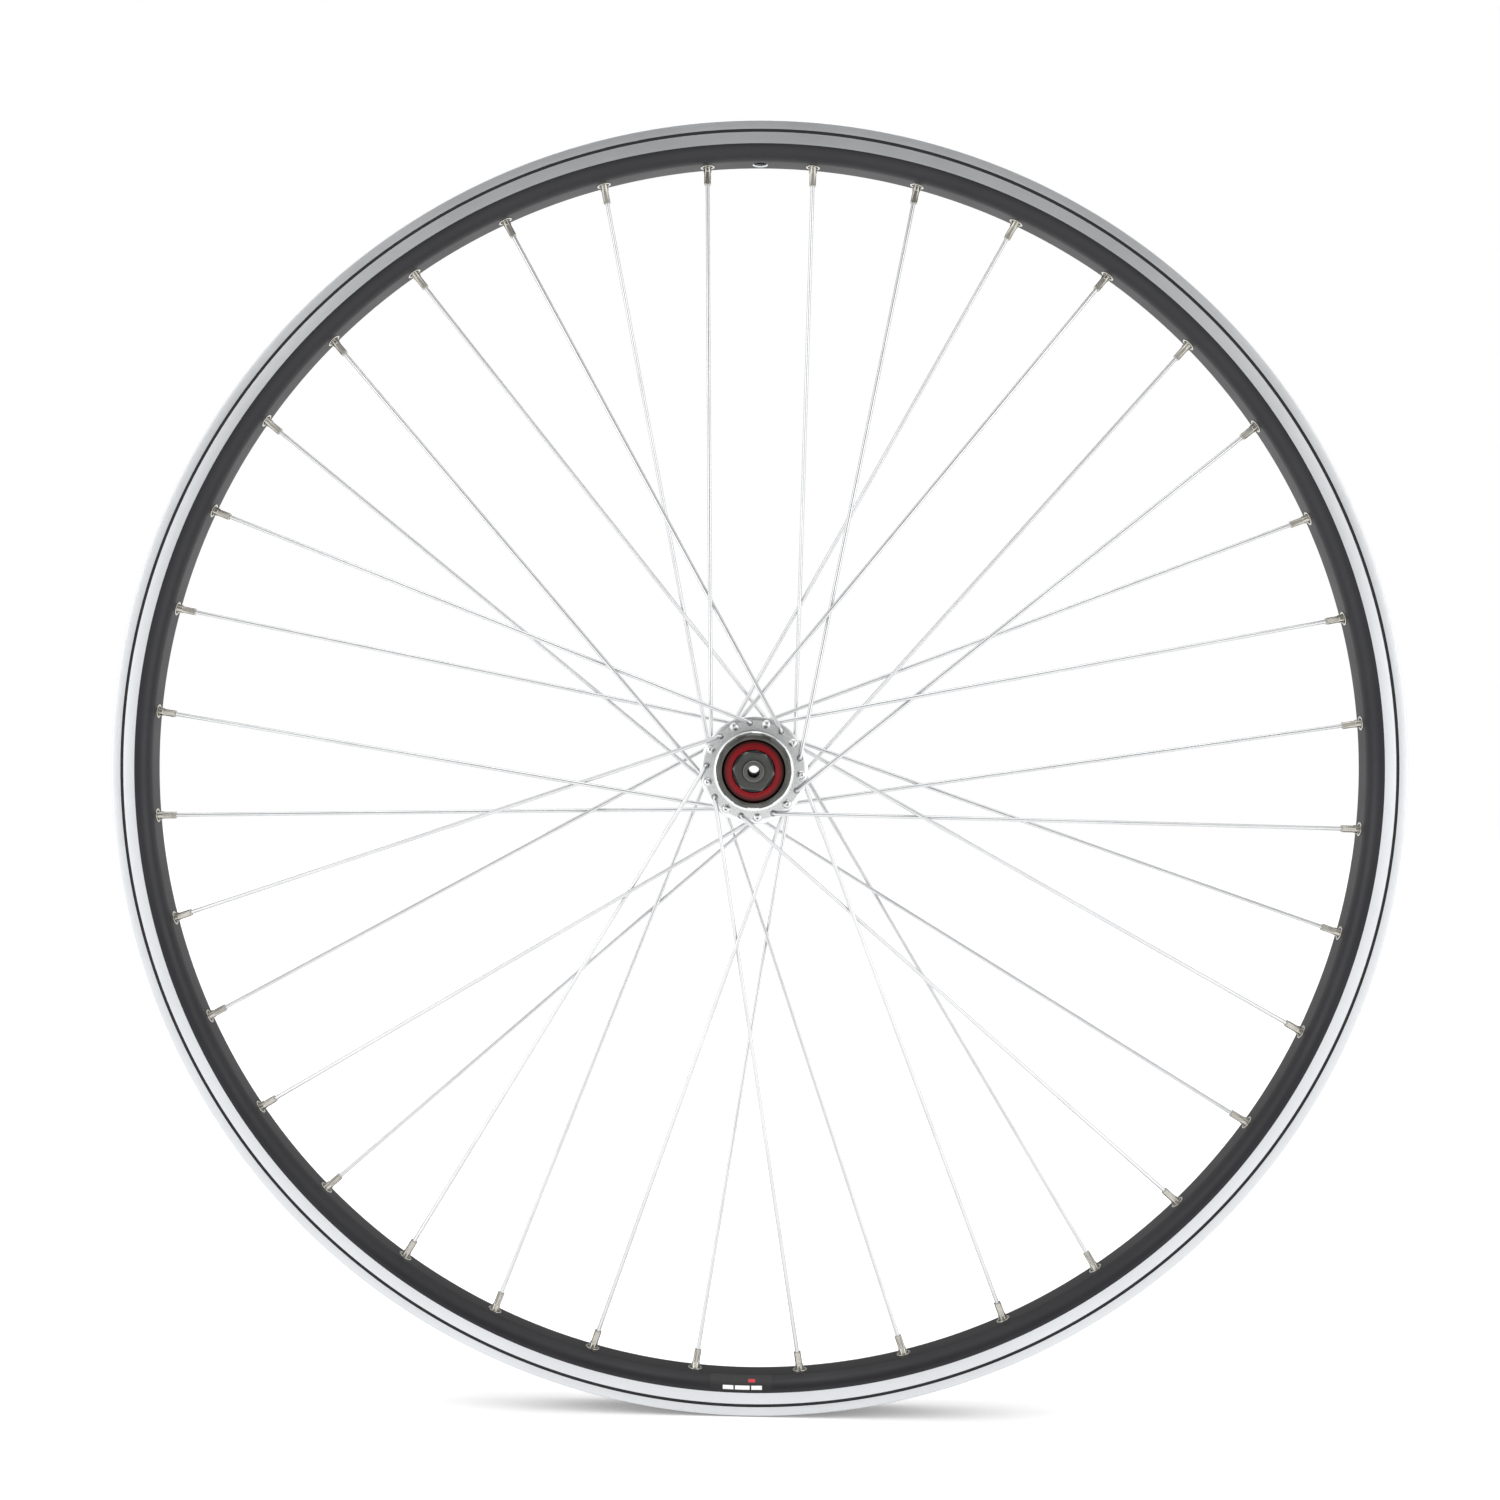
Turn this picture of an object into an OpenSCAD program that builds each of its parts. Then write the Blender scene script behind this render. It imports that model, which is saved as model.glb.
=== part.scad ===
// Rear bicycle wheel with a freehub, laced with spokes that cross three times on each side.
// The axle lies along Y, the drive side faces -Y, and the valve hole is at the top, on +Z.
// The origin is the middle of the axle, which lies in the middle plane of the rim.

/* [Wheel] */
// Diameter of the tyre's bead seat
bead_seat_d = 622; // [540:1:635]
// Width over the two locknuts' outer faces
old_width = 135; // [130:0.5:142]
// Spokes on each side of the wheel
spokes_per_side = 18; // [16:2:20]
// Times that each spoke crosses the others of its side
crosses = 3; // [3:1:3]

/* [Rim] */
// Width over the brake tracks
rim_width = 24; // [22:0.5:28]
// Height from the spoke bed to the rim's edge
rim_height = 18.45; // [16:0.05:24]
// Height of the rim's edge above the bead seat
edge_height = 6.25; // [5.5:0.05:7]
// Height of the machined brake track
brake_track = 11.35; // [9:0.05:11.8]
// Width of the flat spoke bed
bed_width = 9; // [7:0.5:12]
// Thickness of the brake track wall
side_wall = 1.5; // [1.2:0.05:2]
// Thickness of the spoke bed
bed_wall = 1.6; // [1.2:0.05:2]
// Thickness of the bridge between tyre and chamber
bridge_wall = 1.3; // [1:0.05:1.6]
// How far each bead hook stands in from its wall
hook = 1; // [0.6:0.05:1.5]
// Depth of the tyre well below the bead seat
well_depth = 3; // [2:0.1:3.5]
// Width of the tyre well's floor
well_width = 9.2; // [8:0.1:11]
// Distance of the wear groove from the rim's edge
groove_inset = 5.15; // [4:0.05:6.5]
// Width of the wear groove
groove_width = 1.2; // [0.8:0.1:1.6]
// Depth of the wear groove
groove_depth = 0.35; // [0.2:0.05:0.5]
// Diameter of the valve hole
valve_hole_d = 6.5; // [6.3:0.1:8.5]
// Diameter of the nipple access holes in the bridge
access_d = 8.6; // [8:0.1:9]
// Length of the sleeve that joins the rim's ends
joint_length = 36; // [24:1:38]
// Length of the label around the rim
label_length = 30; // [20:1:60]

/* [Spokes and nipples] */
// Diameter of the spokes
spoke_d = 2; // [1.8:0.1:2.2]
// Diameter of the spoke heads
spoke_head_d = 4.4; // [4:0.1:4.8]
// Height of the spoke heads
spoke_head_h = 1.4; // [1.1:0.1:1.6]
// Centre line radius of the elbow
elbow_radius = 1.6; // [1.5:0.05:2]
// Diameter of the nipples' round barrel
nipple_d = 4; // [3.8:0.05:4.2]
// Width over the nipples' wrench flats
nipple_flats = 3.3; // [3.2:0.05:3.5]
// Length of the nipple that shows below the spoke bed
nipple_out = 9; // [6:0.5:12]
// Diameter of the nipples' heads
nipple_head_d = 6; // [5.8:0.1:6.4]
// Inner diameter of the eyelets
eyelet_bore_d = 5; // [4.8:0.05:5.2]
// Thickness of the eyelets' sheet
eyelet_wall = 0.3; // [0.2:0.05:0.4]
// Diameter of the eyelets' flange
eyelet_d = 7; // [6.6:0.1:7.6]

/* [Hub shell] */
// Distance of the drive side flange from the rim plane
drive_flange = 21; // [19.5:0.1:22]
// Distance of the left flange from the rim plane
left_flange = 34; // [32:0.5:36]
// Pitch circle diameter of the spoke holes
hole_circle_d = 46; // [45.5:0.5:52]
// Diameter of the flanges
flange_d = 52.4; // [52:0.1:60]
// Thickness of the flanges
flange_t = 3.2; // [2.8:0.1:3.4]
// Diameter of the spoke holes
spoke_hole_d = 2.5; // [2.4:0.05:2.8]
// Diameter of the barrel between the flanges
barrel_d = 27; // [25:0.5:30]
// Diameter of the boss around the left bearing
left_boss_d = 32; // [31:0.5:34]

/* [Axle and bearings] */
// Thread diameter of the axle
axle_d = 10; // [9.6:0.1:10]
// Bore of the axle for the quick release skewer
skewer_bore_d = 5.5; // [5.2:0.1:6]
// How far each axle end stands out of its locknut
axle_end = 5.5; // [4:0.5:6]
// Width over the locknuts' flats
locknut_flats = 17; // [16:0.5:17]
// Thickness of the locknuts
locknut_t = 5; // [4:0.5:5.5]
// Angle of the right locknut's corners
locknut_turn = 23.5; // [0:0.5:60]
// Diameter of the hub's bearing balls
hub_ball_d = 6.35; // [6:0.05:6.35]
// Balls in each hub bearing
hub_ball_count = 9; // [7:1:9]
// Pitch circle radius of the hub's bearing balls
hub_ball_pitch = 9.4; // [9.3:0.05:9.5]

/* [Freehub] */
// Diameter over the cassette splines
spline_d = 34.9; // [34.5:0.1:35]
// Diameter at the foot of the splines
spline_root_d = 32.6; // [32:0.1:33]
// Width of the splines
spline_width = 6.8; // [5:0.1:8]
// Number of the splines
spline_count = 9; // [9:1:9]
// Diameter of the shoulder behind the splines
shoulder_d = 36; // [35:0.5:38]
// Length of the freehub sleeve
sleeve_length = 36.1; // [36:0.1:36.3]
// Minor diameter of the lockring thread
lockring_d = 29.6; // [29.4:0.1:30]
// Number of the ratchet's teeth
ratchet_teeth = 24; // [24:24:24]
// Radius at the tips of the ratchet's teeth
tooth_tip_r = 13.3; // [13.25:0.05:13.35]
// Height of the ratchet's teeth
tooth_height = 1; // [0.8:0.1:1.1]
// Diameter of the freehub's bearing balls
small_ball_d = 3.175; // [3:0.025:3.175]
// Balls in each of the freehub's bearings
small_ball_count = 24; // [20:1:24]
// Pitch circle radius of the freehub's bearing balls
small_ball_pitch = 12.85; // [12.8:0.05:12.9]
// Angle that the pawls are drawn at, from folded
pawl_lift = 0; // [0:1:13]

/* [Hidden] */
$fn = 96;

// Radial gaps: between a ball and its race, of a pivot, of a thread, and of pressed and laid-in pieces
ball_gap = 0.04;
pivot_gap = 0.05;
thread_gap = 0.02;
seat_gap = 0.03;
rod_fn = 24;

// Rim
seat_r = bead_seat_d / 2;
edge_r = seat_r + edge_height;
bed_r = edge_r - rim_height;
track_r = edge_r - brake_track;
well_r = seat_r - well_depth;
half_rim = rim_width / 2;
half_bed = bed_width / 2;
half_channel = half_rim - side_wall;
half_well = well_width / 2;
shoulder_half = half_well + 2.4;
groove_r = edge_r - groove_inset;
arc_steps = 8;
joint_angle = -90.6;
label_t = 0.12;
label_gap = 0.02;

// Lacing, as angles round the wheel seen from the drive side, from +X towards the valve hole
hole_step = 360 / spokes_per_side;
lacing_step = hole_step * 2;
lacing_turn = crosses * hole_step;
drive_first = 90 - hole_step * 3 / 4;
left_first = 90 - hole_step / 4;
hub_hole_r = hole_circle_d / 2;
eyelet_r = eyelet_bore_d / 2;
eyelet_top = bed_r + bed_wall + seat_gap + eyelet_wall;
eyelet_bottom = bed_r - seat_gap - eyelet_wall;
nipple_r = (eyelet_top + eyelet_bottom) / 2;
nipple_bore_d = spoke_d + 2 * thread_gap;
nipple_head_z = eyelet_top - nipple_r + 0.49;
nipple_head_h = 2.1;
nipple_tip_z = bed_r - nipple_out - nipple_r;
bend_swell = 0.03;
cross_gap = spoke_d + 4 * bend_swell;
elbow_sink = 0.15;
bend_radius = 12;
rod_lap = 0.1;

// Places along the axle, counted towards the drive side
locknut_z = old_width / 2 - locknut_t;
sleeve_end = locknut_z - 0.2;
sleeve_start = sleeve_end - sleeve_length;
drive_face = drive_flange + flange_t / 2;
left_face = -left_flange - flange_t / 2;
shell_end = sleeve_start - 1.2;
shell_left = -locknut_z + 12;
hub_ball_r = hub_ball_d / 2;
hub_groove_r = hub_ball_r + ball_gap;
small_groove_r = small_ball_d / 2 + ball_gap;
right_ball_z = locknut_z - 6.2;
left_ball_z = shell_left + 6;
outer_row_z = right_ball_z - 5.1;
inner_row_z = sleeve_start + 3.3;

// Radii of the freehub's inner pieces
nose_r = 10.4;
bolt_r = 8;
bolt_head_r = 9.2;
bolt_head_h = 7;
axle_r = axle_d / 2;
washer_r = axle_r + 3.2;
cap_bore_r = axle_r + 4.95;
seal_clearance = 0.35;
bolt_bore_r = axle_r + 0.6;
bolt_hex = 12;
pawl_zone_r = 12.85;
core_neck_r = small_ball_pitch - small_groove_r - 0.02;
core_shoulder_r = 13.9;
race_thread_r = 9.6;
race_r = 13.6;
race_bore_r = hub_ball_pitch + hub_groove_r + 0.09;
web_start = shell_end + 6.5;
web_end = web_start + 5;
core_end = outer_row_z - small_groove_r - 0.6;
race_start = core_end - 4.5;
ratchet_start = inner_row_z + 4.5;
ratchet_end = outer_row_z - 4.2;
ridge_r = 13.3;
sleeve_mouth_r = 15;

// Pawls, drawn with their pivot at angle 0
pawl_pivot_r = 11.3;
pawl_root_r = 1.25;
pawl_tip_r = 12.7;
pawl_tip_angle = 23.5;
pawl_length = 6.8;
pawl_z = (ratchet_start + ratchet_end) / 2 - pawl_length / 2;
pawl_side_gap = 0.15;
tooth_first = 21.3;
tooth_lean = 0.8;

// Colours
silver = "#d2d4d4";
steel = "#a9aaa8";
dark_steel = "#4b4c4b";
black = "#2f2f31";
red = "#80121a";

function polar(r, a) = [r * cos(a), r * sin(a)];
function flip(points) = [for (i = [len(points) - 1:-1:0]) [points[i][0], -points[i][1]]];
function unit(v) = v / norm(v);

// The rounded side below the brake track, pulled in by an inset along and across the rim
function side_arc(inset_r, inset_z) = [
  for (i = [0:arc_steps])
    let (a = 90 - 90 * i / arc_steps)
      [
        track_r - (track_r - bed_r - inset_r) * sin(a),
        half_bed + (half_rim - half_bed - inset_z) * cos(a)
      ]
];

// Turns a piece drawn around +Z, drive side up, so that the drive side faces -Y
module on_axle() {
  rotate([90, 0, 0]) children();
}

module lathe(points) {
  rotate_extrude() polygon(points);
}

module ring(inner, outer, start, end) {
  translate([0, 0, start]) difference() {
    cylinder(r = outer, h = end - start);
    translate([0, 0, -1]) cylinder(r = inner, h = end - start + 2);
  }
}

// Places a piece drawn along +Z at an angle round the wheel, pointing outwards
module at_rim(angle) {
  rotate([0, 0, angle]) rotate([0, 90, 0]) children();
}

// ---- Rim ----

module rim_outline() {
  upper = concat(
    side_arc(0, 0),
    [
      [groove_r - groove_width / 2, half_rim],
      [groove_r - groove_width / 4, half_rim - groove_depth],
      [groove_r + groove_width / 4, half_rim - groove_depth],
      [groove_r + groove_width / 2, half_rim],
      [edge_r - 0.5, half_rim],
      [edge_r, half_rim - 0.5],
      [edge_r, half_channel - hook + 0.4],
      [edge_r - 0.4, half_channel - hook],
      [edge_r - 1.7, half_channel - hook],
      [edge_r - 2.6, half_channel],
      [seat_r, half_channel],
      [seat_r, shoulder_half],
      [well_r, half_well]
    ]
  );
  polygon(concat(upper, flip(upper)));
}

module chamber_outline() {
  upper = concat(
    side_arc(bed_wall, side_wall),
    [
      [seat_r - bridge_wall, half_channel - 0.3],
      [seat_r - bridge_wall, shoulder_half],
      [well_r - bridge_wall, half_well]
    ]
  );
  polygon(concat(upper, flip(upper)));
}

module rim() {
  color(black) difference() {
    rotate_extrude() difference() {
      rim_outline();
      chamber_outline();
    }
    for (i = [0:2 * spokes_per_side - 1]) at_rim(drive_first + i * hole_step / 2) {
      translate([0, 0, bed_r - 1]) cylinder(r = eyelet_r + eyelet_wall + seat_gap, h = bed_wall + 2);
      translate([0, 0, well_r - bridge_wall - 1]) cylinder(d = access_d, h = bridge_wall + 2);
    }
    at_rim(90) translate([0, 0, bed_r - 1]) cylinder(d = valve_hole_d, h = well_r - bed_r + 2);
  }
}

// Fills the chamber across the joint, between the nipples on either side
module rim_joint_sleeve() {
  sweep = joint_length / bed_r * 180 / PI;
  upper = concat(
    side_arc(bed_wall + 0.1, side_wall + 0.1),
    [
      [seat_r - bridge_wall - 0.1, half_channel - 0.4],
      [seat_r - bridge_wall - 0.1, shoulder_half],
      [well_r - bridge_wall - 0.1, half_well]
    ]
  );
  color(steel) rotate([0, 0, joint_angle - sweep / 2]) rotate_extrude(angle = sweep)
    polygon(concat(upper, flip(upper)));
}

// A thin sticker that follows the rounded side of the rim on the drive side
module rim_label() {
  sweep = label_length / bed_r * 180 / PI;
  outside = side_arc(-label_gap - label_t, -label_gap - label_t);
  inside = side_arc(-label_gap, -label_gap);
  kept = [1:arc_steps - 1];
  color("#1c1c1e") rotate([0, 0, joint_angle - sweep / 2]) rotate_extrude(angle = sweep)
    polygon(concat([for (i = kept) inside[i]], [for (i = kept) outside[arc_steps - i]]));
}

// ---- Spokes, eyelets and nipples ----

module eyelets(first) {
  tube_r = eyelet_r + eyelet_wall;
  color(silver) for (i = [0:spokes_per_side - 1]) at_rim(first + i * hole_step) lathe([
    [eyelet_r, eyelet_bottom],
    [eyelet_d / 2 - 0.15, eyelet_bottom],
    [eyelet_d / 2, bed_r - seat_gap - 0.15],
    [eyelet_d / 2, bed_r - seat_gap],
    [tube_r, bed_r - seat_gap],
    [tube_r, bed_r + bed_wall + seat_gap],
    [tube_r + 0.5, bed_r + bed_wall + seat_gap],
    [tube_r + 0.5, eyelet_top],
    [eyelet_r, eyelet_top]
  ]);
}

// Every spoke lies in a plane that holds its hub hole's axis. In that plane, x is the distance
// from the hub hole and y is the distance from the middle plane of the rim.
function run(turn) = let (v = polar(nipple_r, turn) - [hub_hole_r, 0]) norm(v);
function lean(turn) = let (v = polar(nipple_r, turn) - [hub_hole_r, 0]) atan2(v[1], v[0]);
function last_cross(turn) =
  let (
    a = lean(turn),
    near = hub_hole_r * cos(a),
    side = hub_hole_r * sin(a)
  )
    side * tan(((2 * crosses - 1) * hole_step + 2 * (90 - a)) / 2) - near;

// Where the spokes of one side cross last, the outer ones pass inside the inner ones
function cross_point(flange, elbow) =
  let (x = last_cross(lacing_turn))
    [x, flange * (1 - x / run(lacing_turn)) - elbow * cross_gap / 2];
function elbow_centre(flange, elbow) =
  [elbow_radius, flange + elbow * (flange_t / 2 - elbow_sink)];
function first_angle(flange, elbow) =
  let (v = cross_point(flange, elbow) - elbow_centre(flange, elbow))
    atan2(v[1], v[0]) - elbow * asin(elbow_radius / norm(v));
function last_angle(flange, elbow) =
  let (k = cross_point(flange, elbow))
    atan2(-k[1], run(lacing_turn) - k[0]);

// A straight stretch of a spoke, which runs a little way into what it meets at both ends
module rod(from, angle, length) {
  translate(from) rotate([0, 0, angle]) rotate([0, 90, 0]) translate([0, 0, -rod_lap])
    cylinder(d = spoke_d, h = length + 2 * rod_lap, $fn = rod_fn);
}

// A bent stretch, where the wire is swollen a little by the bending
module bend(centre, radius, from, sweep) {
  translate(centre) rotate([0, 0, from]) rotate_extrude(angle = sweep)
    translate([radius, 0]) circle(d = spoke_d + 2 * bend_swell, $fn = rod_fn);
}

module spoke_head(flange, elbow) {
  r = spoke_head_d / 2;
  h = spoke_head_h;
  translate([0, flange - elbow * flange_t / 2]) rotate([elbow * 90, 0, 0])
    rotate_extrude($fn = rod_fn)
      polygon([[0, 0], [r, 0], [r, h * 0.3], [r * 0.78, h * 0.7], [r * 0.42, h * 0.94], [0, h]]);
}

// elbow is 1 where the elbow lies on the flange's outer face and -1 where it lies on the inner
module spoke(flange, elbow) {
  corner = cross_point(flange, elbow);
  centre = elbow_centre(flange, elbow);
  a1 = first_angle(flange, elbow);
  a2 = last_angle(flange, elbow);
  elbow_sweep = 90 - elbow * a1;
  elbow_out = centre + elbow_radius * elbow * [-sin(a1), cos(a1)];
  turn = abs(a2 - a1);
  tangent = bend_radius * tan(turn / 2);
  bend_in = corner - tangent * [cos(a1), sin(a1)];
  bend_out = corner + tangent * [cos(a2), sin(a2)];
  spoke_end = [run(lacing_turn), 0] + 1.2 * [cos(a2), sin(a2)];
  spoke_head(flange, elbow);
  rod([0, flange - elbow * flange_t / 2], elbow * 90, flange_t - elbow_sink);
  bend(centre, elbow_radius, elbow > 0 ? 180 - elbow_sweep : 180, elbow_sweep);
  rod(elbow_out, a1, norm(bend_in - elbow_out));
  bend(
    bend_in + elbow * bend_radius * [-sin(a1), cos(a1)],
    bend_radius,
    elbow > 0 ? a1 - 90 : a2 + 90,
    turn
  );
  rod(bend_out, a2, norm(spoke_end - bend_out));
}

// Puts what is drawn in a spoke's plane at its rim hole and side. way is the way round, 1 or -1,
// that the spoke goes from its hub hole to its rim hole.
module in_spoke_plane(rim_angle, side, way) {
  hub_point = polar(hub_hole_r, rim_angle - way * lacing_turn);
  along = unit(polar(nipple_r, rim_angle) - hub_point);
  x = [along[0], along[1], 0];
  y = [0, 0, side];
  z = cross(x, y);
  multmatrix([
    [x[0], y[0], z[0], hub_point[0]],
    [x[1], y[1], z[1], hub_point[1]],
    [x[2], y[2], z[2], 0],
    [0, 0, 0, 1]
  ]) children();
}

module spokes(first, side, flange, elbow, tint) {
  color(tint) for (i = [0:spokes_per_side / 2 - 1])
    in_spoke_plane(first + i * lacing_step, side, elbow) spoke(flange, elbow);
}

module nipple() {
  head_r = nipple_head_d / 2;
  barrel_z = nipple_tip_z + 6.4;
  difference() {
    union() {
      intersection() {
        translate([0, 0, nipple_tip_z]) cylinder(d = nipple_d, h = 6.6, $fn = rod_fn);
        translate([-nipple_flats / 2, -nipple_flats / 2, nipple_tip_z - 1])
          cube([nipple_flats, nipple_flats, 10]);
      }
      translate([0, 0, barrel_z])
        cylinder(d = nipple_d, h = nipple_head_z + 0.5 - barrel_z, $fn = rod_fn);
      rotate_extrude($fn = rod_fn) polygon([
        [0, nipple_head_z],
        [head_r, nipple_head_z],
        [head_r, nipple_head_z + nipple_head_h * 0.45],
        [head_r * 0.7, nipple_head_z + nipple_head_h * 0.9],
        [head_r * 0.4, nipple_head_z + nipple_head_h],
        [0, nipple_head_z + nipple_head_h]
      ]);
    }
    translate([0, 0, nipple_tip_z - 1])
      cylinder(d = nipple_bore_d, h = 30, $fn = rod_fn);
  }
}

module nipples(first, side, flange) {
  color("#c6c4ba") for (i = [0:spokes_per_side - 1]) {
    elbow = i % 2 == 0 ? 1 : -1;
    in_spoke_plane(first + i * hole_step, side, elbow) translate([run(lacing_turn), 0])
      rotate([0, 0, last_angle(flange, elbow)]) rotate([0, 90, 0]) nipple();
  }
}

// ---- Hub ----

module hub_outline() {
  r = flange_d / 2;
  root_r = hub_hole_r - spoke_head_d / 2 - 1.5;
  barrel_r = barrel_d / 2;
  boss_r = left_boss_d / 2;
  left_in = -left_flange + flange_t / 2;
  drive_in = drive_flange - flange_t / 2;
  taper_r = hub_hole_r + 1.4;
  polygon([
    [boss_r - 0.6, shell_left],
    [boss_r, shell_left + 0.6],
    [boss_r, left_face - 2],
    [boss_r + 1.2, left_face - 0.5],
    [root_r, left_face],
    [taper_r, left_face],
    [r, left_face + 0.55],
    [r, left_in - 0.5],
    [r - 0.4, left_in],
    [root_r, left_in],
    [root_r - 2.4, left_in + 0.8],
    [barrel_r + 1, left_in + 3],
    [barrel_r, left_in + 6],
    [barrel_r, drive_in - 6],
    [barrel_r + 1, drive_in - 3],
    [root_r - 2.4, drive_in - 0.8],
    [root_r, drive_in],
    [r - 0.4, drive_in],
    [r, drive_in + 0.5],
    [r, drive_face - 0.55],
    [taper_r, drive_face],
    [root_r, drive_face],
    [shoulder_d / 2 + 0.3, drive_face + 0.4],
    [shoulder_d / 2 - 0.2, shell_end - 0.4],
    [shoulder_d / 2 - 0.6, shell_end],
    [nose_r, shell_end],
    [nose_r, web_start],
    [bolt_r + thread_gap, web_start],
    [bolt_r + thread_gap, drive_in - 3],
    [axle_r + 2.6, drive_in - 5],
    [axle_r + 2.6, left_ball_z + 7],
    [hub_ball_pitch, left_ball_z + 4.9],
    [race_r + seat_gap, left_ball_z + 4.9],
    [race_r + seat_gap, left_ball_z - 4.3],
    [boss_r - 1.4, left_ball_z - 4.3],
    [boss_r - 1.4, shell_left]
  ]);
}

module hub_shell() {
  color(silver) difference() {
    rotate_extrude() hub_outline();
    for (i = [0:spokes_per_side - 1]) {
      rotate([0, 0, drive_first - lacing_turn + i * hole_step]) translate([hub_hole_r, 0, drive_flange - 3])
        cylinder(d = spoke_hole_d, h = 6, $fn = rod_fn);
      rotate([0, 0, left_first - lacing_turn + i * hole_step]) translate([hub_hole_r, 0, -left_flange - 3])
        cylinder(d = spoke_hole_d, h = 6, $fn = rod_fn);
    }
  }
}

module left_bearing_cup() {
  color(steel) rotate_extrude() difference() {
    polygon([
      [hub_ball_pitch - 1.2, left_ball_z + 4.8],
      [race_r, left_ball_z + 4.8],
      [race_r, left_ball_z - 4.1],
      [race_bore_r, left_ball_z - 4.1],
      [race_bore_r, left_ball_z],
      [hub_ball_pitch - 1.2, left_ball_z + 2.9]
    ]);
    translate([hub_ball_pitch, left_ball_z]) circle(hub_groove_r);
  }
}

module left_dust_cap() {
  r = left_boss_d / 2 - 1.4 - seat_gap;
  color(dark_steel) lathe([
    [axle_r + 3.6, shell_left - 0.7],
    [r - 2, shell_left - 0.7],
    [r, shell_left + 0.2],
    [r, left_ball_z - 4.4],
    [r - 1, left_ball_z - 4.4],
    [r - 1.2, shell_left + 0.9],
    [axle_r + 3.6, shell_left + 0.6]
  ]);
}

// ---- Axle and its nuts ----

module axle() {
  half = old_width / 2 + axle_end;
  bore_r = skewer_bore_d / 2;
  color(steel) lathe([
    [bore_r + 0.5, -half],
    [axle_r - 0.6, -half],
    [axle_r, -half + 0.6],
    [axle_r, half - 0.6],
    [axle_r - 0.6, half],
    [bore_r + 0.5, half],
    [bore_r, half - 0.5],
    [bore_r, -half + 0.5]
  ]);
}

module cone_section(ball_z, outwards, end_z, body_r) {
  bore = axle_r + thread_gap;
  difference() {
    polygon([
      [bore, ball_z - 3 * outwards],
      [axle_r + 1.1, ball_z - 3 * outwards],
      [axle_r + 1.1, ball_z],
      [axle_r + 3.8, ball_z + 2.6 * outwards],
      [axle_r + 3.8, ball_z + 4 * outwards],
      [body_r, ball_z + 4.4 * outwards],
      [body_r, end_z],
      [bore, end_z]
    ]);
    translate([hub_ball_pitch, ball_z]) circle(hub_groove_r);
  }
}

module right_cone() {
  color(steel) rotate_extrude() cone_section(right_ball_z, 1, locknut_z - 1.5, axle_r + 3.4);
}

// The left cone stands out of the shell, with two flats for a thin spanner
module left_cone() {
  end_z = -locknut_z + 5;
  color(steel) difference() {
    rotate_extrude() cone_section(left_ball_z, -1, end_z, axle_r + 3);
    for (side = [-1, 1]) translate([side * 10 - 2.5, -10, end_z + 0.6]) cube([5, 20, 4]);
  }
}

module right_washer() {
  color(dark_steel) ring(axle_r + thread_gap, washer_r, locknut_z - 1.5, locknut_z);
}

// Rubber ring round the washer, which keeps dirt out of the gap to the red cap
module right_cone_seal() {
  color("#262626") ring(washer_r, cap_bore_r - seal_clearance, locknut_z - 1.5, locknut_z - 0.7);
}

module left_spacer() {
  color(dark_steel) ring(axle_r + thread_gap, washer_r, -locknut_z, -locknut_z + 5);
}

module locknut(turn) {
  corner_r = locknut_flats / 2 / cos(30);
  color(dark_steel) rotate([0, 0, turn]) difference() {
    intersection() {
      cylinder(r = corner_r, h = locknut_t, $fn = 6);
      lathe([
        [0, 0],
        [corner_r - 0.5, 0],
        [corner_r + 0.1, 0.5],
        [corner_r + 0.1, locknut_t - 0.9],
        [corner_r - 1.1, locknut_t],
        [0, locknut_t]
      ]);
    }
    translate([0, 0, -1]) cylinder(r = axle_r + thread_gap, h = locknut_t + 2);
  }
}

module right_locknut() {
  translate([0, 0, locknut_z]) locknut(locknut_turn);
}

module left_locknut() {
  translate([0, 0, -locknut_z]) mirror([0, 0, 1]) locknut(0);
}

// ---- Freehub ----

module at_pawls() {
  for (turn = [0, 180]) rotate([0, 0, turn]) children();
}

// The pocket that a pawl folds into, with a round socket for its root
module pawl_pocket() {
  back = pawl_pivot_r + 0.4;
  out = pawl_zone_r + 2;
  linear_extrude(pawl_length + 2 * pawl_side_gap) union() {
    translate([pawl_pivot_r, 0]) circle(pawl_root_r + pivot_gap);
    polygon([
      [back, -1.5],
      [out, -1.5],
      [out, 6.6],
      [pawl_pivot_r - 1.55, 5.75],
      [pawl_pivot_r - 1.05, 0.5],
      [back, 0.4]
    ]);
  }
}

module pawl() {
  top = [for (a = [-1, 5, 11, 17, pawl_tip_angle]) polar(pawl_tip_r, a)];
  color(steel) translate([0, 0, pawl_z]) translate([pawl_pivot_r, 0]) rotate([0, 0, -pawl_lift])
    translate([-pawl_pivot_r, 0]) linear_extrude(pawl_length) union() {
      translate([pawl_pivot_r, 0]) circle(pawl_root_r);
      polygon(concat(top, [[pawl_pivot_r - 0.85, 4.8], [pawl_pivot_r - 1, 0.8]]));
    }
}

module pawl_a() {
  pawl();
}

module pawl_b() {
  rotate([0, 0, 180]) pawl();
}

// A bent leaf under each pawl, pressed flat as when the pawl is folded
module pawl_springs() {
  x = pawl_pivot_r;
  color(silver) at_pawls() translate([0, 0, pawl_z + 1]) linear_extrude(pawl_length - 2) polygon([
    [x - 1.13, 1.5],
    [x - 1.46, 5.2],
    [x - 1.26, 5.2],
    [x - 1.1, 2.05],
    [x - 1.11, 4.4],
    [x - 0.915, 4.4],
    [x - 1, 1.5]
  ]);
}

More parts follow.
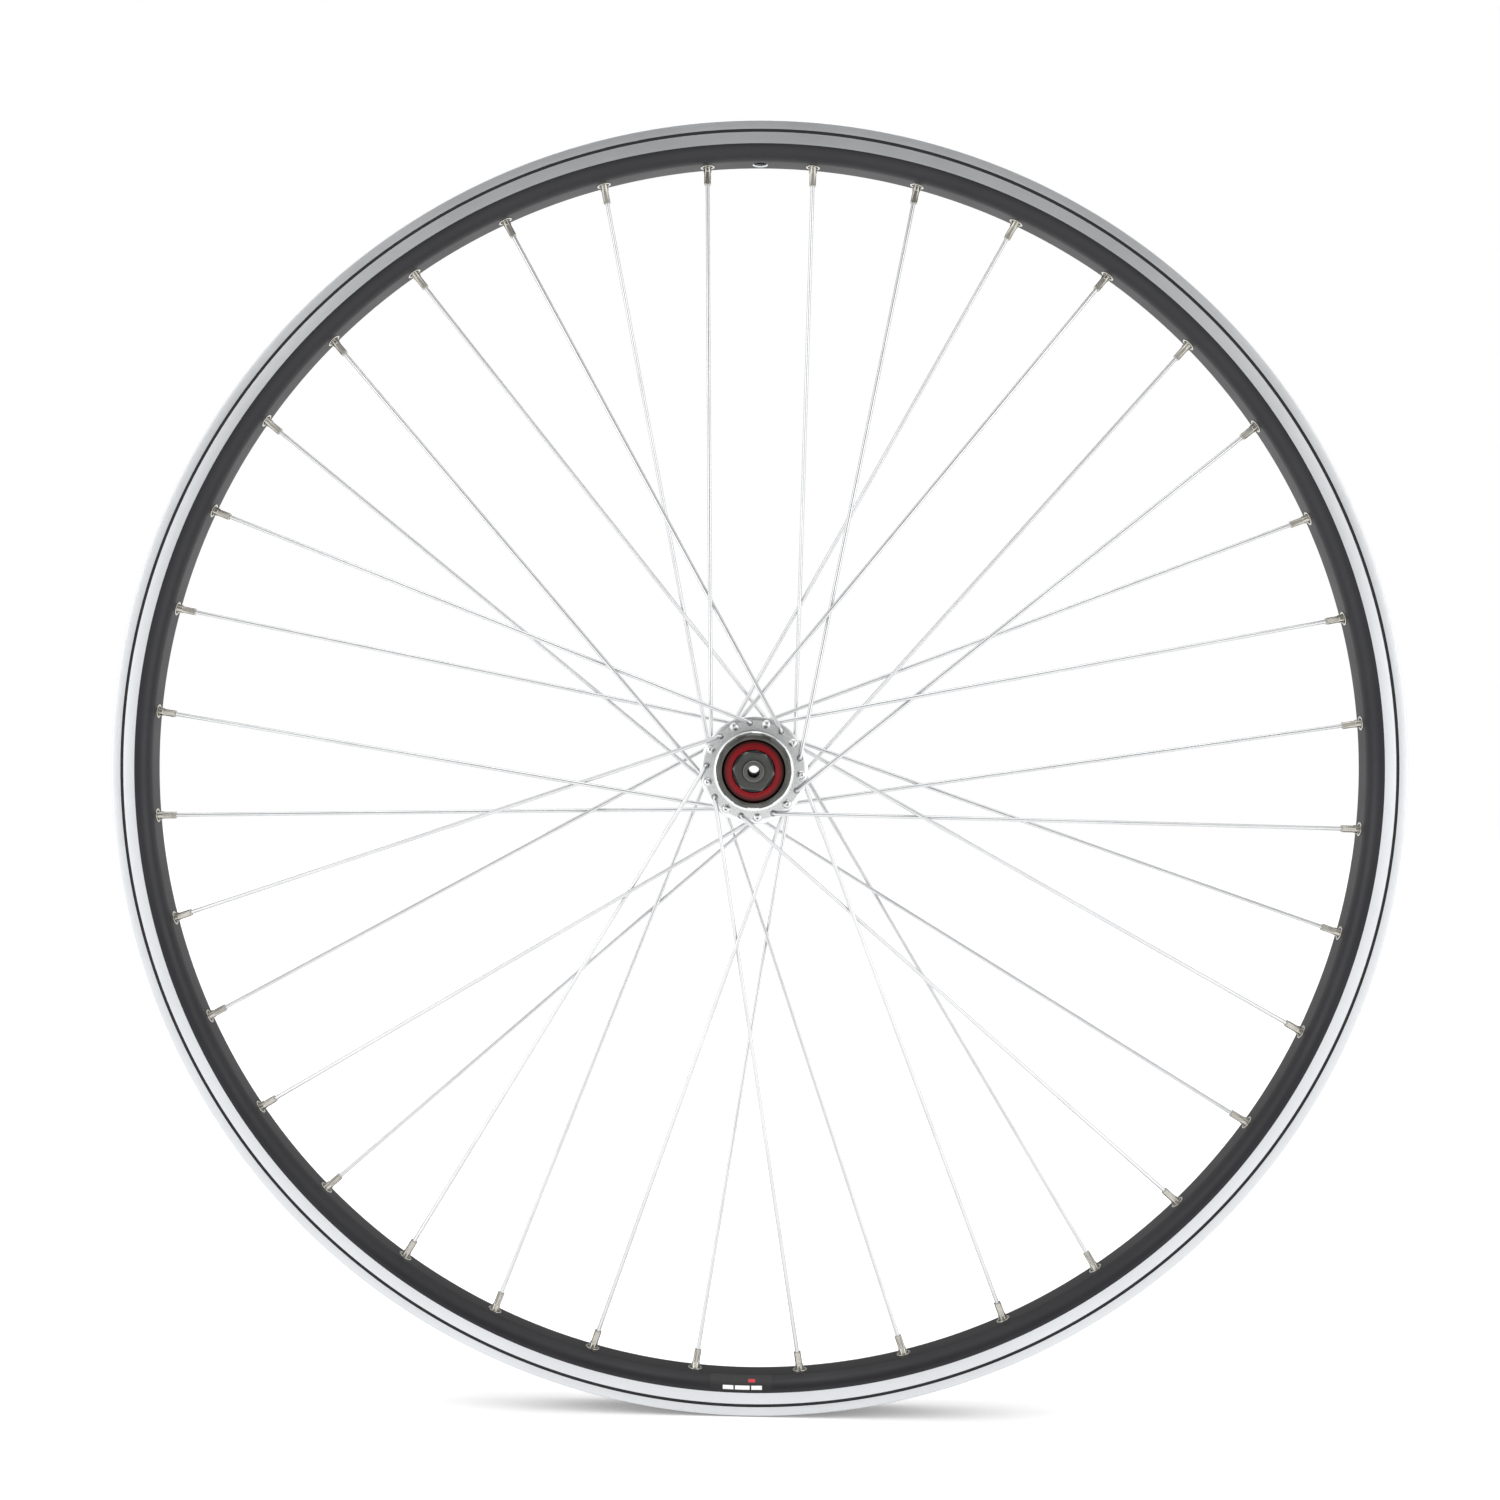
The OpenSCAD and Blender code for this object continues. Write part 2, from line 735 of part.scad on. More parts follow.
module freehub_core() {
  color(steel) difference() {
    rotate_extrude() difference() {
      polygon([
        [nose_r + seat_gap, shell_end + 0.05],
        [core_shoulder_r, shell_end + 0.05],
        [core_shoulder_r, inner_row_z],
        [core_neck_r, inner_row_z],
        [core_neck_r, inner_row_z + 3],
        [pawl_zone_r, inner_row_z + 3.6],
        [pawl_zone_r, core_end],
        [race_thread_r + seat_gap, core_end],
        [race_thread_r + seat_gap, race_start - 0.2],
        [bolt_head_r + 0.1, race_start - 0.2],
        [bolt_head_r + 0.1, web_end],
        [bolt_r + 0.1, web_end],
        [bolt_r + 0.1, web_start + 0.05],
        [nose_r + seat_gap, web_start + 0.05]
      ]);
      translate([small_ball_pitch, inner_row_z]) circle(small_groove_r);
    }
    at_pawls() translate([0, 0, pawl_z - pawl_side_gap]) pawl_pocket();
  }
}

module freehub_bolt() {
  color(dark_steel) difference() {
    lathe([
      [bolt_bore_r, drive_flange - 3],
      [bolt_r - 0.6, drive_flange - 3],
      [bolt_r, drive_flange - 2.4],
      [bolt_r, web_end],
      [bolt_head_r, web_end],
      [bolt_head_r, web_end + bolt_head_h - 0.6],
      [bolt_head_r - 0.6, web_end + bolt_head_h],
      [bolt_bore_r, web_end + bolt_head_h]
    ]);
    translate([0, 0, web_end + 1]) cylinder(d = bolt_hex / cos(30), h = bolt_head_h, $fn = 6);
  }
}

// Screwed into the core, it carries the small balls outside and the hub's balls inside
module freehub_race() {
  color(steel) rotate_extrude() difference() {
    polygon([
      [axle_r + 2, race_start],
      [race_thread_r, race_start],
      [race_thread_r, core_end + 0.2],
      [core_neck_r, core_end + 0.2],
      [core_neck_r, outer_row_z],
      [race_r, outer_row_z],
      [race_r, right_ball_z + 3.7],
      [race_bore_r, right_ball_z + 3.7],
      [race_bore_r, right_ball_z],
      [axle_r + 2, right_ball_z - 2.9]
    ]);
    translate([small_ball_pitch, outer_row_z]) circle(small_groove_r);
    translate([hub_ball_pitch, right_ball_z]) circle(hub_groove_r);
  }
}

module freehub_seal() {
  color("#262626") ring(core_shoulder_r + 0.02, sleeve_mouth_r - 0.4, sleeve_start + 0.2, sleeve_start + 1.9);
}

// Red cap over the bearing: a flat ring with a raised lip, and a skirt pressed into the race
module freehub_dust_cap() {
  base = right_ball_z + 3.75;
  outer = lockring_d / 2 - 0.5;
  lip = cap_bore_r;
  color(red) lathe([
    [lip, base + 0.1],
    [race_bore_r - 0.6, base],
    [race_bore_r - 0.55, right_ball_z + 2.2],
    [race_bore_r - seat_gap, right_ball_z + 2.2],
    [race_bore_r - seat_gap, base],
    [outer, base],
    [outer, base + 0.3],
    [outer - 0.5, base + 0.7],
    [lip + 1, base + 1.1],
    [lip + 0.6, base + 1.8],
    [lip + 0.1, base + 1.8],
    [lip, base + 1.7]
  ]);
}

// Each tooth has a steep face that meets the pawls and a long slope that pushes them down
module ratchet_cut() {
  step = 360 / ratchet_teeth;
  root_r = tooth_tip_r + tooth_height;
  translate([0, 0, ratchet_start]) linear_extrude(ratchet_end - ratchet_start)
    polygon([
      for (i = [0:ratchet_teeth - 1]) each [
        polar(tooth_tip_r, tooth_first + tooth_lean + i * step),
        polar(root_r, tooth_first + (i + 1) * step)
      ]
    ]);
}

module freehub_sleeve() {
  r = spline_d / 2;
  root_r = spline_root_d / 2;
  color("#5a5a58") difference() {
    intersection() {
      lathe([
        [0, sleeve_start],
        [shoulder_d / 2 - 0.5, sleeve_start],
        [shoulder_d / 2, sleeve_start + 0.5],
        [shoulder_d / 2, sleeve_start + 2],
        [r, sleeve_start + 2.6],
        [r, sleeve_end - 0.7],
        [r - 0.7, sleeve_end],
        [0, sleeve_end]
      ]);
      union() {
        translate([0, 0, sleeve_start - 1]) cylinder(r = root_r, h = sleeve_length + 2);
        translate([0, 0, sleeve_start - 1]) cylinder(r = shoulder_d / 2 + 1, h = 3.6);
        for (i = [0:spline_count - 1]) rotate([0, 0, 90 + i * 360 / spline_count])
          translate([root_r - 2, -spline_width / 2, sleeve_start])
            cube([4, spline_width, sleeve_length + 1]);
      }
    }
    rotate_extrude()
      polygon([
        [0, sleeve_start - 1],
        [sleeve_mouth_r, sleeve_start - 1],
        [sleeve_mouth_r, sleeve_start + 2.1],
        [small_ball_pitch + small_groove_r + 0.07, sleeve_start + 2.1],
        [small_ball_pitch + small_groove_r + 0.07, inner_row_z],
        [ridge_r, inner_row_z + 1],
        [ridge_r, outer_row_z - 1],
        [lockring_d / 2, outer_row_z],
        [lockring_d / 2, sleeve_end + 1],
        [0, sleeve_end + 1]
      ]);
    for (z = [inner_row_z, outer_row_z]) rotate_extrude()
      translate([small_ball_pitch, z]) circle(small_groove_r);
    ratchet_cut();
  }
}

// ---- Balls ----

module balls(d, count, pitch, z, first) {
  color(silver) for (i = [0:count - 1]) rotate([0, 0, first + i * 360 / count])
    translate([pitch, 0, z]) sphere(d = d, $fn = 32);
}

on_axle() axle();
on_axle() right_cone();
on_axle() left_cone();
on_axle() right_washer();
on_axle() left_spacer();
on_axle() right_cone_seal();
on_axle() right_locknut();
on_axle() left_locknut();
on_axle() rim();
on_axle() rim_joint_sleeve();
on_axle() rim_label();
on_axle() eyelets(drive_first);  // drive_eyelets
on_axle() eyelets(left_first);  // left_eyelets
on_axle() nipples(drive_first, 1, drive_flange);  // drive_nipples
on_axle() nipples(left_first, -1, left_flange);  // left_nipples
on_axle() spokes(drive_first, 1, drive_flange, 1, "#d8d9d8");  // drive_trailing_spokes
on_axle() spokes(drive_first + hole_step, 1, drive_flange, -1, "#cfd0cf");  // drive_leading_spokes
on_axle() spokes(left_first, -1, left_flange, 1, "#c8c9c8");  // left_trailing_spokes
on_axle() spokes(left_first + hole_step, -1, left_flange, -1, "#bfc0bf");  // left_leading_spokes
on_axle() hub_shell();
on_axle() left_bearing_cup();
on_axle() left_dust_cap();
on_axle() freehub_core();
on_axle() freehub_bolt();
on_axle() freehub_race();
on_axle() freehub_seal();
on_axle() freehub_dust_cap();
on_axle() pawl_springs();
on_axle() freehub_sleeve();
on_axle() balls(hub_ball_d, hub_ball_count, hub_ball_pitch, right_ball_z, 0);  // right_hub_balls
on_axle() balls(hub_ball_d, hub_ball_count, hub_ball_pitch, left_ball_z, 20);  // left_hub_balls
on_axle() balls(small_ball_d, small_ball_count, small_ball_pitch, outer_row_z, 0);  // outer_sleeve_balls
on_axle() balls(small_ball_d, small_ball_count, small_ball_pitch, inner_row_z, 5);  // inner_sleeve_balls
on_axle() pawl_a();
on_axle() pawl_b();
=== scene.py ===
import math

import bmesh
import bpy
from mathutils import Matrix, Vector


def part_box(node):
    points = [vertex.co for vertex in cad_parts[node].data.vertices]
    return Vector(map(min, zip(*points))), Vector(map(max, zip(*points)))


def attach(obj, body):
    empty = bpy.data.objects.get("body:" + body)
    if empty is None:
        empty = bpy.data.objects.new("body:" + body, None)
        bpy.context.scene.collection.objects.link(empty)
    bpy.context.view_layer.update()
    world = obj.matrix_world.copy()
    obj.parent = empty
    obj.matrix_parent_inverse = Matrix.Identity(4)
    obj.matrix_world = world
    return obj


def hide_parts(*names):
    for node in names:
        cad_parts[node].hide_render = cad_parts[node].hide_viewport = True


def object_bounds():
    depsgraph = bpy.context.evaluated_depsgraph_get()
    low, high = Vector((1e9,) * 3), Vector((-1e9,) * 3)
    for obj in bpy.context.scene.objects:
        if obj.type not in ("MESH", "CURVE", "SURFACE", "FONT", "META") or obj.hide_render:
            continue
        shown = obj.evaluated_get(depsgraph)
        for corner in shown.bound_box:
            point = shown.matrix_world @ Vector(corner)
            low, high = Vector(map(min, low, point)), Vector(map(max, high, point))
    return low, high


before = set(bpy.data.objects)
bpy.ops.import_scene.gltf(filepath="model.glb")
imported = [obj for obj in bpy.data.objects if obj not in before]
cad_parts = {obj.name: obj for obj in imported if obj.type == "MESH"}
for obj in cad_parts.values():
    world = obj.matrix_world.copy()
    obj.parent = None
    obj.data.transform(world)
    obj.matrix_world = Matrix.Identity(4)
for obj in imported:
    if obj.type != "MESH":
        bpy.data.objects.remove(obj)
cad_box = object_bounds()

bl_info = {
    "name": "Rear bicycle wheel",
    "version": (1, 0, 0),
    "blender": (4, 5, 0),
    "location": "3D View > Sidebar > Wheel",
    "description": "Builds the visible pieces of a rear bicycle wheel around its packed model",
    "category": "Add Mesh",
}

# ---- Places and sizes, in millimetres. z runs along the axle, towards the drive side. ----

MM = 0.001
ON_AXLE = Matrix.Scale(MM, 4) @ Matrix.Rotation(math.radians(90), 4, "X")


def mm_box(node):
    """The lowest and highest corner of a node, in millimetres along x, y and z."""
    low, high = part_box(node)
    return low / MM, high / MM


RIM_HIGH = mm_box("rim")[1]
EDGE_R = RIM_HIGH.x
HALF_RIM = RIM_HIGH.y
RIM_HEIGHT = 18.45
BED_R = EDGE_R - RIM_HEIGHT
TRACK_R = EDGE_R - 11.35
SEAT_R = EDGE_R - 6.25
WELL_R = SEAT_R - 3
GROOVE_R = EDGE_R - 5.15
GROOVE_HALF = 0.7
GROOVE_FLOOR_HALF = 0.5
GROOVE_DEPTH = 0.35
HALF_BED = 4.5
BED_WALL = 1.6
BRIDGE_WALL = 1.3
SIDE_WALL = 1.5
HALF_WELL = 4.6
VALVE_HOLE_R = 3.25
ACCESS_R = 4.3
JOINT_ANGLE = -90.6

PER_SIDE = 18
HOLE_STEP = 360 / PER_SIDE
LACING_TURN = 3 * HOLE_STEP
DRIVE_FIRST = 90 - HOLE_STEP * 3 / 4
LEFT_FIRST = 90 - HOLE_STEP / 4
HUB_HOLE_R = 23.0
NIPPLE_R = 299.6
FLANGE_T = 3.2
DRIVE_FLANGE = 21.0
LEFT_FLANGE = 34.0
SPOKE_R = 1.0
ELBOW_R = 1.6
ELBOW_SINK = 0.15
BEND_R = 12.0
CROSS_GAP = 2.12

SLEEVE_LOW, SLEEVE_HIGH = mm_box("freehub_sleeve")
SLEEVE_END = -SLEEVE_LOW.y
SLEEVE_START = -SLEEVE_HIGH.y
SHELL_END = SLEEVE_START - 1.2
SHELL_LEFT = -mm_box("hub_shell")[1].y
LEFT_BALL_Z = SHELL_LEFT + 6
LOCKNUT_Z = -mm_box("right_locknut")[1].y
AXLE_HALF = -mm_box("axle")[0].y
AXLE_R = 5.0
NUT_FLATS = 17.0
THREAD_GAP = 0.02
NUT_BORE_R = AXLE_R + THREAD_GAP
NUT_T = 5.0
NUT_TURN = 23.5
WASHER_R = 8.2
WASHER_T = 1.5
SPACER_T = 5.0
CAP_STEP = 1.55
CAP_BASE = -mm_box("freehub_dust_cap")[1].y + CAP_STEP


# ---- Colours and node helpers ----


def linear(hex_colour):
    """An sRGB hex colour as linear red, green, blue and alpha."""
    parts = [int(hex_colour[i:i + 2], 16) / 255 for i in (0, 2, 4)]
    return (*(p / 12.92 if p <= 0.04045 else ((p + 0.055) / 1.055) ** 2.4 for p in parts), 1)


def add(tree, kind, inputs=None, **settings):
    """Adds a node with its settings, and sets or links its inputs."""
    node = tree.nodes.new(kind)
    for key, value in settings.items():
        setattr(node, key, value)
    for key, value in (inputs or {}).items():
        if isinstance(value, bpy.types.NodeSocket):
            tree.links.new(value, node.inputs[key])
        else:
            node.inputs[key].default_value = value
    return node


def start_material(name):
    """An empty material, its node tree, its place on the object and its distance from the axle."""
    material = bpy.data.materials.new(name)
    material.use_nodes = True
    tree = material.node_tree
    tree.nodes.clear()
    place = add(tree, "ShaderNodeTexCoord").outputs["Object"]
    flat = add(tree, "ShaderNodeVectorMath", {0: place, 1: (1, 0, 1)}, operation="MULTIPLY")
    radius = add(tree, "ShaderNodeVectorMath", {0: flat.outputs[0]}, operation="LENGTH")
    return material, tree, place, radius.outputs["Value"]


def finish_material(material, tree, inputs):
    shader = add(tree, "ShaderNodeBsdfPrincipled", inputs)
    add(tree, "ShaderNodeOutputMaterial", {"Surface": shader.outputs[0]})
    return material


def mottled(tree, place, light, dark, size_mm):
    """A colour that drifts between two shades over a real size."""
    scale = 1 / (size_mm * MM)
    noise = add(tree, "ShaderNodeTexNoise", {"Vector": place, "Scale": scale, "Detail": 4})
    return mix_colours(tree, noise.outputs["Fac"], dark, light)


def mix_colours(tree, factor, first, second):
    mix = add(tree, "ShaderNodeMixRGB", {"Fac": factor})
    for key, colour in (("Color1", first), ("Color2", second)):
        if isinstance(colour, str):
            mix.inputs[key].default_value = linear(colour)
        else:
            tree.links.new(colour, mix.inputs[key])
    return mix.outputs["Color"]


def spread(tree, source, low, high):
    """Maps 0 to 1 onto a range."""
    ranged = add(tree, "ShaderNodeMapRange", {"Value": source, "To Min": low, "To Max": high})
    return ranged.outputs["Result"]


def metal(name, light, dark, roughness, patch_mm, turned_mm=0, depth=0.1, metallic=1.0):
    """A metal with drifting shade and gloss, and the lines of the lathe if turned_mm is given."""
    material, tree, place, radius = start_material(name)
    colour = mottled(tree, place, light, dark, patch_mm)
    cloud = add(tree, "ShaderNodeTexNoise", {"Vector": place, "Scale": 1 / (patch_mm * 0.6 * MM)})
    gloss = spread(tree, cloud.outputs["Fac"], roughness * 0.8, roughness * 1.25)
    grain = add(tree, "ShaderNodeTexNoise", {"Vector": place, "Scale": 1 / (0.5 * MM), "Detail": 2})
    height = grain.outputs["Fac"]
    if turned_mm:
        turns = add(
            tree,
            "ShaderNodeMath",
            {0: radius, 1: 2 * math.pi / (turned_mm * MM)},
            operation="MULTIPLY",
        )
        wave = add(tree, "ShaderNodeMath", {0: turns.outputs[0]}, operation="SINE")
        height = add(tree, "ShaderNodeMath", {0: wave.outputs[0], 1: height}).outputs[0]
    bump = add(tree, "ShaderNodeBump", {"Height": height, "Strength": depth, "Distance": 0.05 * MM})
    return finish_material(
        material,
        tree,
        {
            "Base Color": colour,
            "Metallic": metallic,
            "Roughness": gloss,
            "Normal": bump.outputs[0],
        },
    )


# ---- Materials, each named for what the real one is and how it was made, or for the shade painted into it ----


def black_anodised_aluminium():
    # Extruded, brushed and dyed in the anodising bath: black with a soft sheen
    return metal("black_anodised_aluminium", "39393b", "2c2c2e", 0.42, 60, depth=0.05, metallic=0.75)


def machined_aluminium():
    # The brake track is faced on a lathe after anodising. Its lines are drawn at 0.4 mm, coarser
    # than the real 0.1 mm, so that they show.
    return metal("machined_aluminium", "d6d8da", "c6c8ca", 0.3, 90, turned_mm=0.4, depth=0.22)


def groove_shade_and_dust():
    # The wear groove is painted nearly black: painted shade of its recess, with brake dust caught in
    # it
    return metal("groove_shade_and_dust", "232325", "161617", 0.7, 6, metallic=0.2)


def polished_aluminium():
    # Cold forged shell, turned and then polished: bright, with faint rings
    return metal("polished_aluminium", "e6e8e8", "d2d4d4", 0.24, 14, turned_mm=0.5, depth=0.12)


def nickel_plated_brass():
    # A slightly warm silver
    return metal("nickel_plated_brass", "c9c6be", "9f9c94", 0.26, 3)


def nickel_plated_steel():
    # Pressed sheet, plated after pressing
    return metal("nickel_plated_steel", "d9d7d0", "c2c0b8", 0.28, 3)


def drawn_stainless_wire():
    # Cold drawn, so bright with a fine grain
    return metal("drawn_stainless_wire", "dcddde", "c4c5c6", 0.3, 25, depth=0.06)


def machined_dark_steel():
    # Turned and milled, case hardened: dark grey
    return metal("machined_dark_steel", "6a6a67", "4f4f4d", 0.4, 5, turned_mm=0.5, depth=0.15)


def ground_bearing_steel():
    return metal("ground_bearing_steel", "b6b8b8", "a0a2a2", 0.22, 8, turned_mm=0.3, depth=0.08)


def rolled_thread_steel():
    # Rolled thread with a film of oil and a little dirt
    return metal("rolled_thread_steel", "6e6f6b", "4c4d4a", 0.42, 4)


def polished_ball_steel():
    return metal("polished_ball_steel", "dcdddd", "cccdcd", 0.08, 5, depth=0.02)


def rolled_spring_steel():
    return metal("rolled_spring_steel", "bcbcb8", "a6a6a2", 0.3, 3)


def extruded_aluminium():
    return metal("extruded_aluminium", "bfc1c1", "a9abab", 0.4, 10)


def black_oxide_steel():
    # Blackened in hot salts: dark and a little blue-green, worn to grey along its edges
    material, tree, place, _ = start_material("black_oxide_steel")
    body = mottled(tree, place, "454a49", "333736", 4)
    edge = add(tree, "ShaderNodeNewGeometry").outputs["Pointiness"]
    worn = add(tree, "ShaderNodeMapRange", {"Value": edge, "From Min": 0.52, "From Max": 0.6})
    colour = mix_colours(tree, worn.outputs["Result"], body, "77746f")
    grain = add(tree, "ShaderNodeTexNoise", {"Vector": place, "Scale": 1 / (0.4 * MM)})
    bump = add(
        tree,
        "ShaderNodeBump",
        {"Height": grain.outputs["Fac"], "Strength": 0.12, "Distance": 0.04 * MM},
    )
    return finish_material(
        material,
        tree,
        {"Base Color": colour, "Metallic": 0.8, "Roughness": 0.42, "Normal": bump.outputs[0]},
    )


def moulded_red_nylon():
    # Glossy red, darkening to nearly black towards its rim: painted shade of the recess under the
    # sleeve's lip, with a darker outer ring of its own
    material, tree, place, radius = start_material("moulded_red_nylon")
    # Painted shade, with the cap's own darker ring: darker from 11.6 mm to 14 mm from the axle
    dark_ring_and_shade = add(
        tree,
        "ShaderNodeMapRange",
        {"Value": radius, "From Min": 11.6 * MM, "From Max": 14 * MM},
        interpolation_type="SMOOTHSTEP",
    )
    body = mottled(tree, place, "8c0010", "6c000a", 5)
    colour = mix_colours(tree, dark_ring_and_shade.outputs["Result"], body, "2c0d09")
    return finish_material(
        material,
        tree,
        {"Base Color": colour, "Roughness": 0.42, "Specular IOR Level": 0.25},
    )


def moulded_nitrile_rubber():
    material, tree, place, _ = start_material("moulded_nitrile_rubber")
    colour = mottled(tree, place, "2b2b2b", "202020", 3)
    return finish_material(material, tree, {"Base Color": colour, "Roughness": 0.75})


def printed_label_film():
    # Black film with plain blocks of colour where a maker would print a name
    material, tree, place, radius = start_material("printed_label_film")
    across = add(tree, "ShaderNodeSeparateXYZ", {0: place}).outputs["X"]

    def window(value, middle_mm, half_mm):
        away = add(tree, "ShaderNodeMath", {0: value, 1: middle_mm * MM}, operation="SUBTRACT")
        size = add(tree, "ShaderNodeMath", {0: away.outputs[0]}, operation="ABSOLUTE")
        inside = add(
            tree, "ShaderNodeMath", {0: size.outputs[0], 1: half_mm * MM}, operation="LESS_THAN"
        )
        return inside.outputs[0]

    def block(x_mm, half_x, r_mm, half_r):
        both = add(
            tree,
            "ShaderNodeMath",
            {0: window(across, x_mm, half_x), 1: window(radius, r_mm, half_r)},
            operation="MULTIPLY",
        )
        return both.outputs[0]

    colour = mottled(tree, place, "1a1a1c", "131315", 8)
    for x_mm, half_x in ((-9.4, 2.6), (-2.4, 3.6), (4.6, 2.6)):
        colour = mix_colours(tree, block(x_mm, half_x, 303.6, 1.1), colour, "e9e9ea")
    colour = mix_colours(tree, block(2.2, 1.7, 300.6, 0.6), colour, "c22a3a")
    return finish_material(material, tree, {"Base Color": colour, "Roughness": 0.5})


def pale_studio_paper():
    material, tree, place, _ = start_material("pale_studio_paper")
    colour = mottled(tree, place, "fcfcfc", "fafafa", 900)
    return finish_material(
        material,
        tree,
        {
            "Base Color": colour,
            "Roughness": 0.9,
            "Emission Color": linear("ffffff"),
            "Emission Strength": 0.22,
        },
    )


MADE = {}


def made(maker):
    """The material that a function makes, made once."""
    if maker not in MADE:
        MADE[maker] = maker()
    return MADE[maker]


# ---- Shapes ----


def polar(radius, degrees):
    angle = math.radians(degrees)
    return Vector((radius * math.cos(angle), radius * math.sin(angle)))


def rounded(corners, steps=4):
    """Points of a closed outline whose corners, given as (x, y, rounding), are softened."""
    points = []
    count = len(corners)
    for i, (x, y, rounding) in enumerate(corners):
        corner = Vector((x, y))
        if not rounding:
            points.append(corner)
            continue
        back = Vector(corners[i - 1][:2]) - corner
        ahead = Vector(corners[(i + 1) % count][:2]) - corner
        start = corner + back.normalized() * min(rounding, back.length * 0.45)
        end = corner + ahead.normalized() * min(rounding, ahead.length * 0.45)
        for k in range(steps + 1):
            t = k / steps
            points.append(start * (1 - t) ** 2 + corner * 2 * t * (1 - t) + end * t * t)
    return points


def spun(points, steps, degrees=360.0):
    """A closed outline of (radius, z) spun round the axle."""
    bm = bmesh.new()
    verts = [bm.verts.new((p[0], 0, p[1])) for p in points]
    edges = [bm.edges.new((verts[i - 1], verts[i])) for i in range(len(verts))]
    full = degrees == 360.0
    bmesh.ops.spin(
        bm,
        geom=verts + edges,
        cent=(0, 0, 0),
        axis=(0, 0, 1),
        angle=math.radians(degrees),
        steps=steps,
        use_merge=full,
    )
    bmesh.ops.remove_doubles(bm, verts=bm.verts, dist=1e-5)
    if not full:
        bmesh.ops.holes_fill(bm, edges=[e for e in bm.edges if e.is_boundary], sides=0)
    bmesh.ops.recalc_face_normals(bm, faces=bm.faces)
    return bm


def repeated(template, places):
    """A template set down at each place, all in one bmesh."""
    mesh = bpy.data.meshes.new("template")
    template.to_mesh(mesh)
    template.free()
    bm = bmesh.new()
    for place in places:
        before = len(bm.verts)
        bm.from_mesh(mesh)
        bm.verts.ensure_lookup_table()
        bmesh.ops.transform(bm, matrix=place, verts=bm.verts[before:])
    bpy.data.meshes.remove(mesh)
    bmesh.ops.recalc_face_normals(bm, faces=bm.faces)
    return bm


def at_rim(degrees):
    """Turns a shape drawn along +z so that it points along an angle in the plane z = 0."""
    return Matrix.Rotation(math.radians(degrees), 4, "Z") @ Matrix.Rotation(math.radians(90), 4, "Y")


def soften(bm, degrees=32):
    """Smooth shading, broken at edges sharper than an angle."""
    for face in bm.faces:
        face.smooth = True
    for edge in bm.edges:
        edge.smooth = edge.is_manifold and edge.calc_face_angle(0) < math.radians(degrees)


def finished(bm, name, body, nodes, makers, placed=False):
    """Makes the object, parents it to its body's empty, gives it its materials and hides the nodes
    it stands in for.
    """
    if not placed:
        bmesh.ops.transform(bm, matrix=ON_AXLE, verts=bm.verts)
    soften(bm)
    mesh = bpy.data.meshes.new(name)
    bm.to_mesh(mesh)
    bm.free()
    for maker in makers:
        mesh.materials.append(made(maker))
    piece = bpy.data.objects.new(name, mesh)
    bpy.context.scene.collection.objects.link(piece)
    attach(piece, body)
    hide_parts(*nodes)
    return piece


def cut(bm, cutter):
    """bm without what lies in cutter, as a new bmesh."""
    made_objects = []
    for name, shape in (("blank", bm), ("cutter", cutter)):
        mesh = bpy.data.meshes.new(name)
        shape.to_mesh(mesh)
        shape.free()
        made_objects.append(bpy.data.objects.new(name, mesh))
        bpy.context.scene.collection.objects.link(made_objects[-1])
    blank, tool = made_objects
    boolean = blank.modifiers.new("holes", "BOOLEAN")
    boolean.operation = "DIFFERENCE"
    boolean.solver = "MANIFOLD"
    boolean.object = tool
    bpy.context.view_layer.update()
    result = bmesh.new()
    result.from_object(blank, bpy.context.evaluated_depsgraph_get())
    for thing in made_objects:
        mesh = thing.data
        bpy.data.objects.remove(thing)
        bpy.data.meshes.remove(mesh)
    if not result.faces:
        raise RuntimeError("the holes couldn't be cut")
    return result


def carried(node, bevel_mm):
    """A merged copy of a node's mesh with its sharp edges broken."""
    bm = bmesh.new()
    bm.from_mesh(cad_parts[node].data)
    bmesh.ops.remove_doubles(bm, verts=bm.verts, dist=2e-6)
    bmesh.ops.dissolve_limit(
        bm,
        angle_limit=math.radians(0.6),
        verts=bm.verts,
        edges=bm.edges,
        use_dissolve_boundaries=False,
    )
    sharp = [e for e in bm.edges if e.is_manifold and e.calc_face_angle(0) > math.radians(28)]
    bmesh.ops.bevel(
        bm,
        geom=sharp,
        offset=bevel_mm * MM,
        affect="EDGES",
        segments=2,
        profile=0.5,
        material=-1,
        clamp_overlap=True,
    )
    return bm


# ---- Rim ----


def side_arc(out=0.0, inset_r=0.0, inset_z=0.0, steps=18):
    """The rounded side from the spoke bed to the brake track."""
    points = []
    for i in range(steps + 1):
        a = math.radians(90 - 90 * i / steps)
        points.append(
            (
                TRACK_R - (TRACK_R - BED_R - inset_r + out) * math.sin(a),
                HALF_BED + (HALF_RIM - HALF_BED - inset_z + out) * math.cos(a),
            )
        )
    return points


def both_sides(upper):
    """An outline from its upper half and the mirror of it."""
    return upper + [(p[0], -p[1]) for p in reversed(upper)]


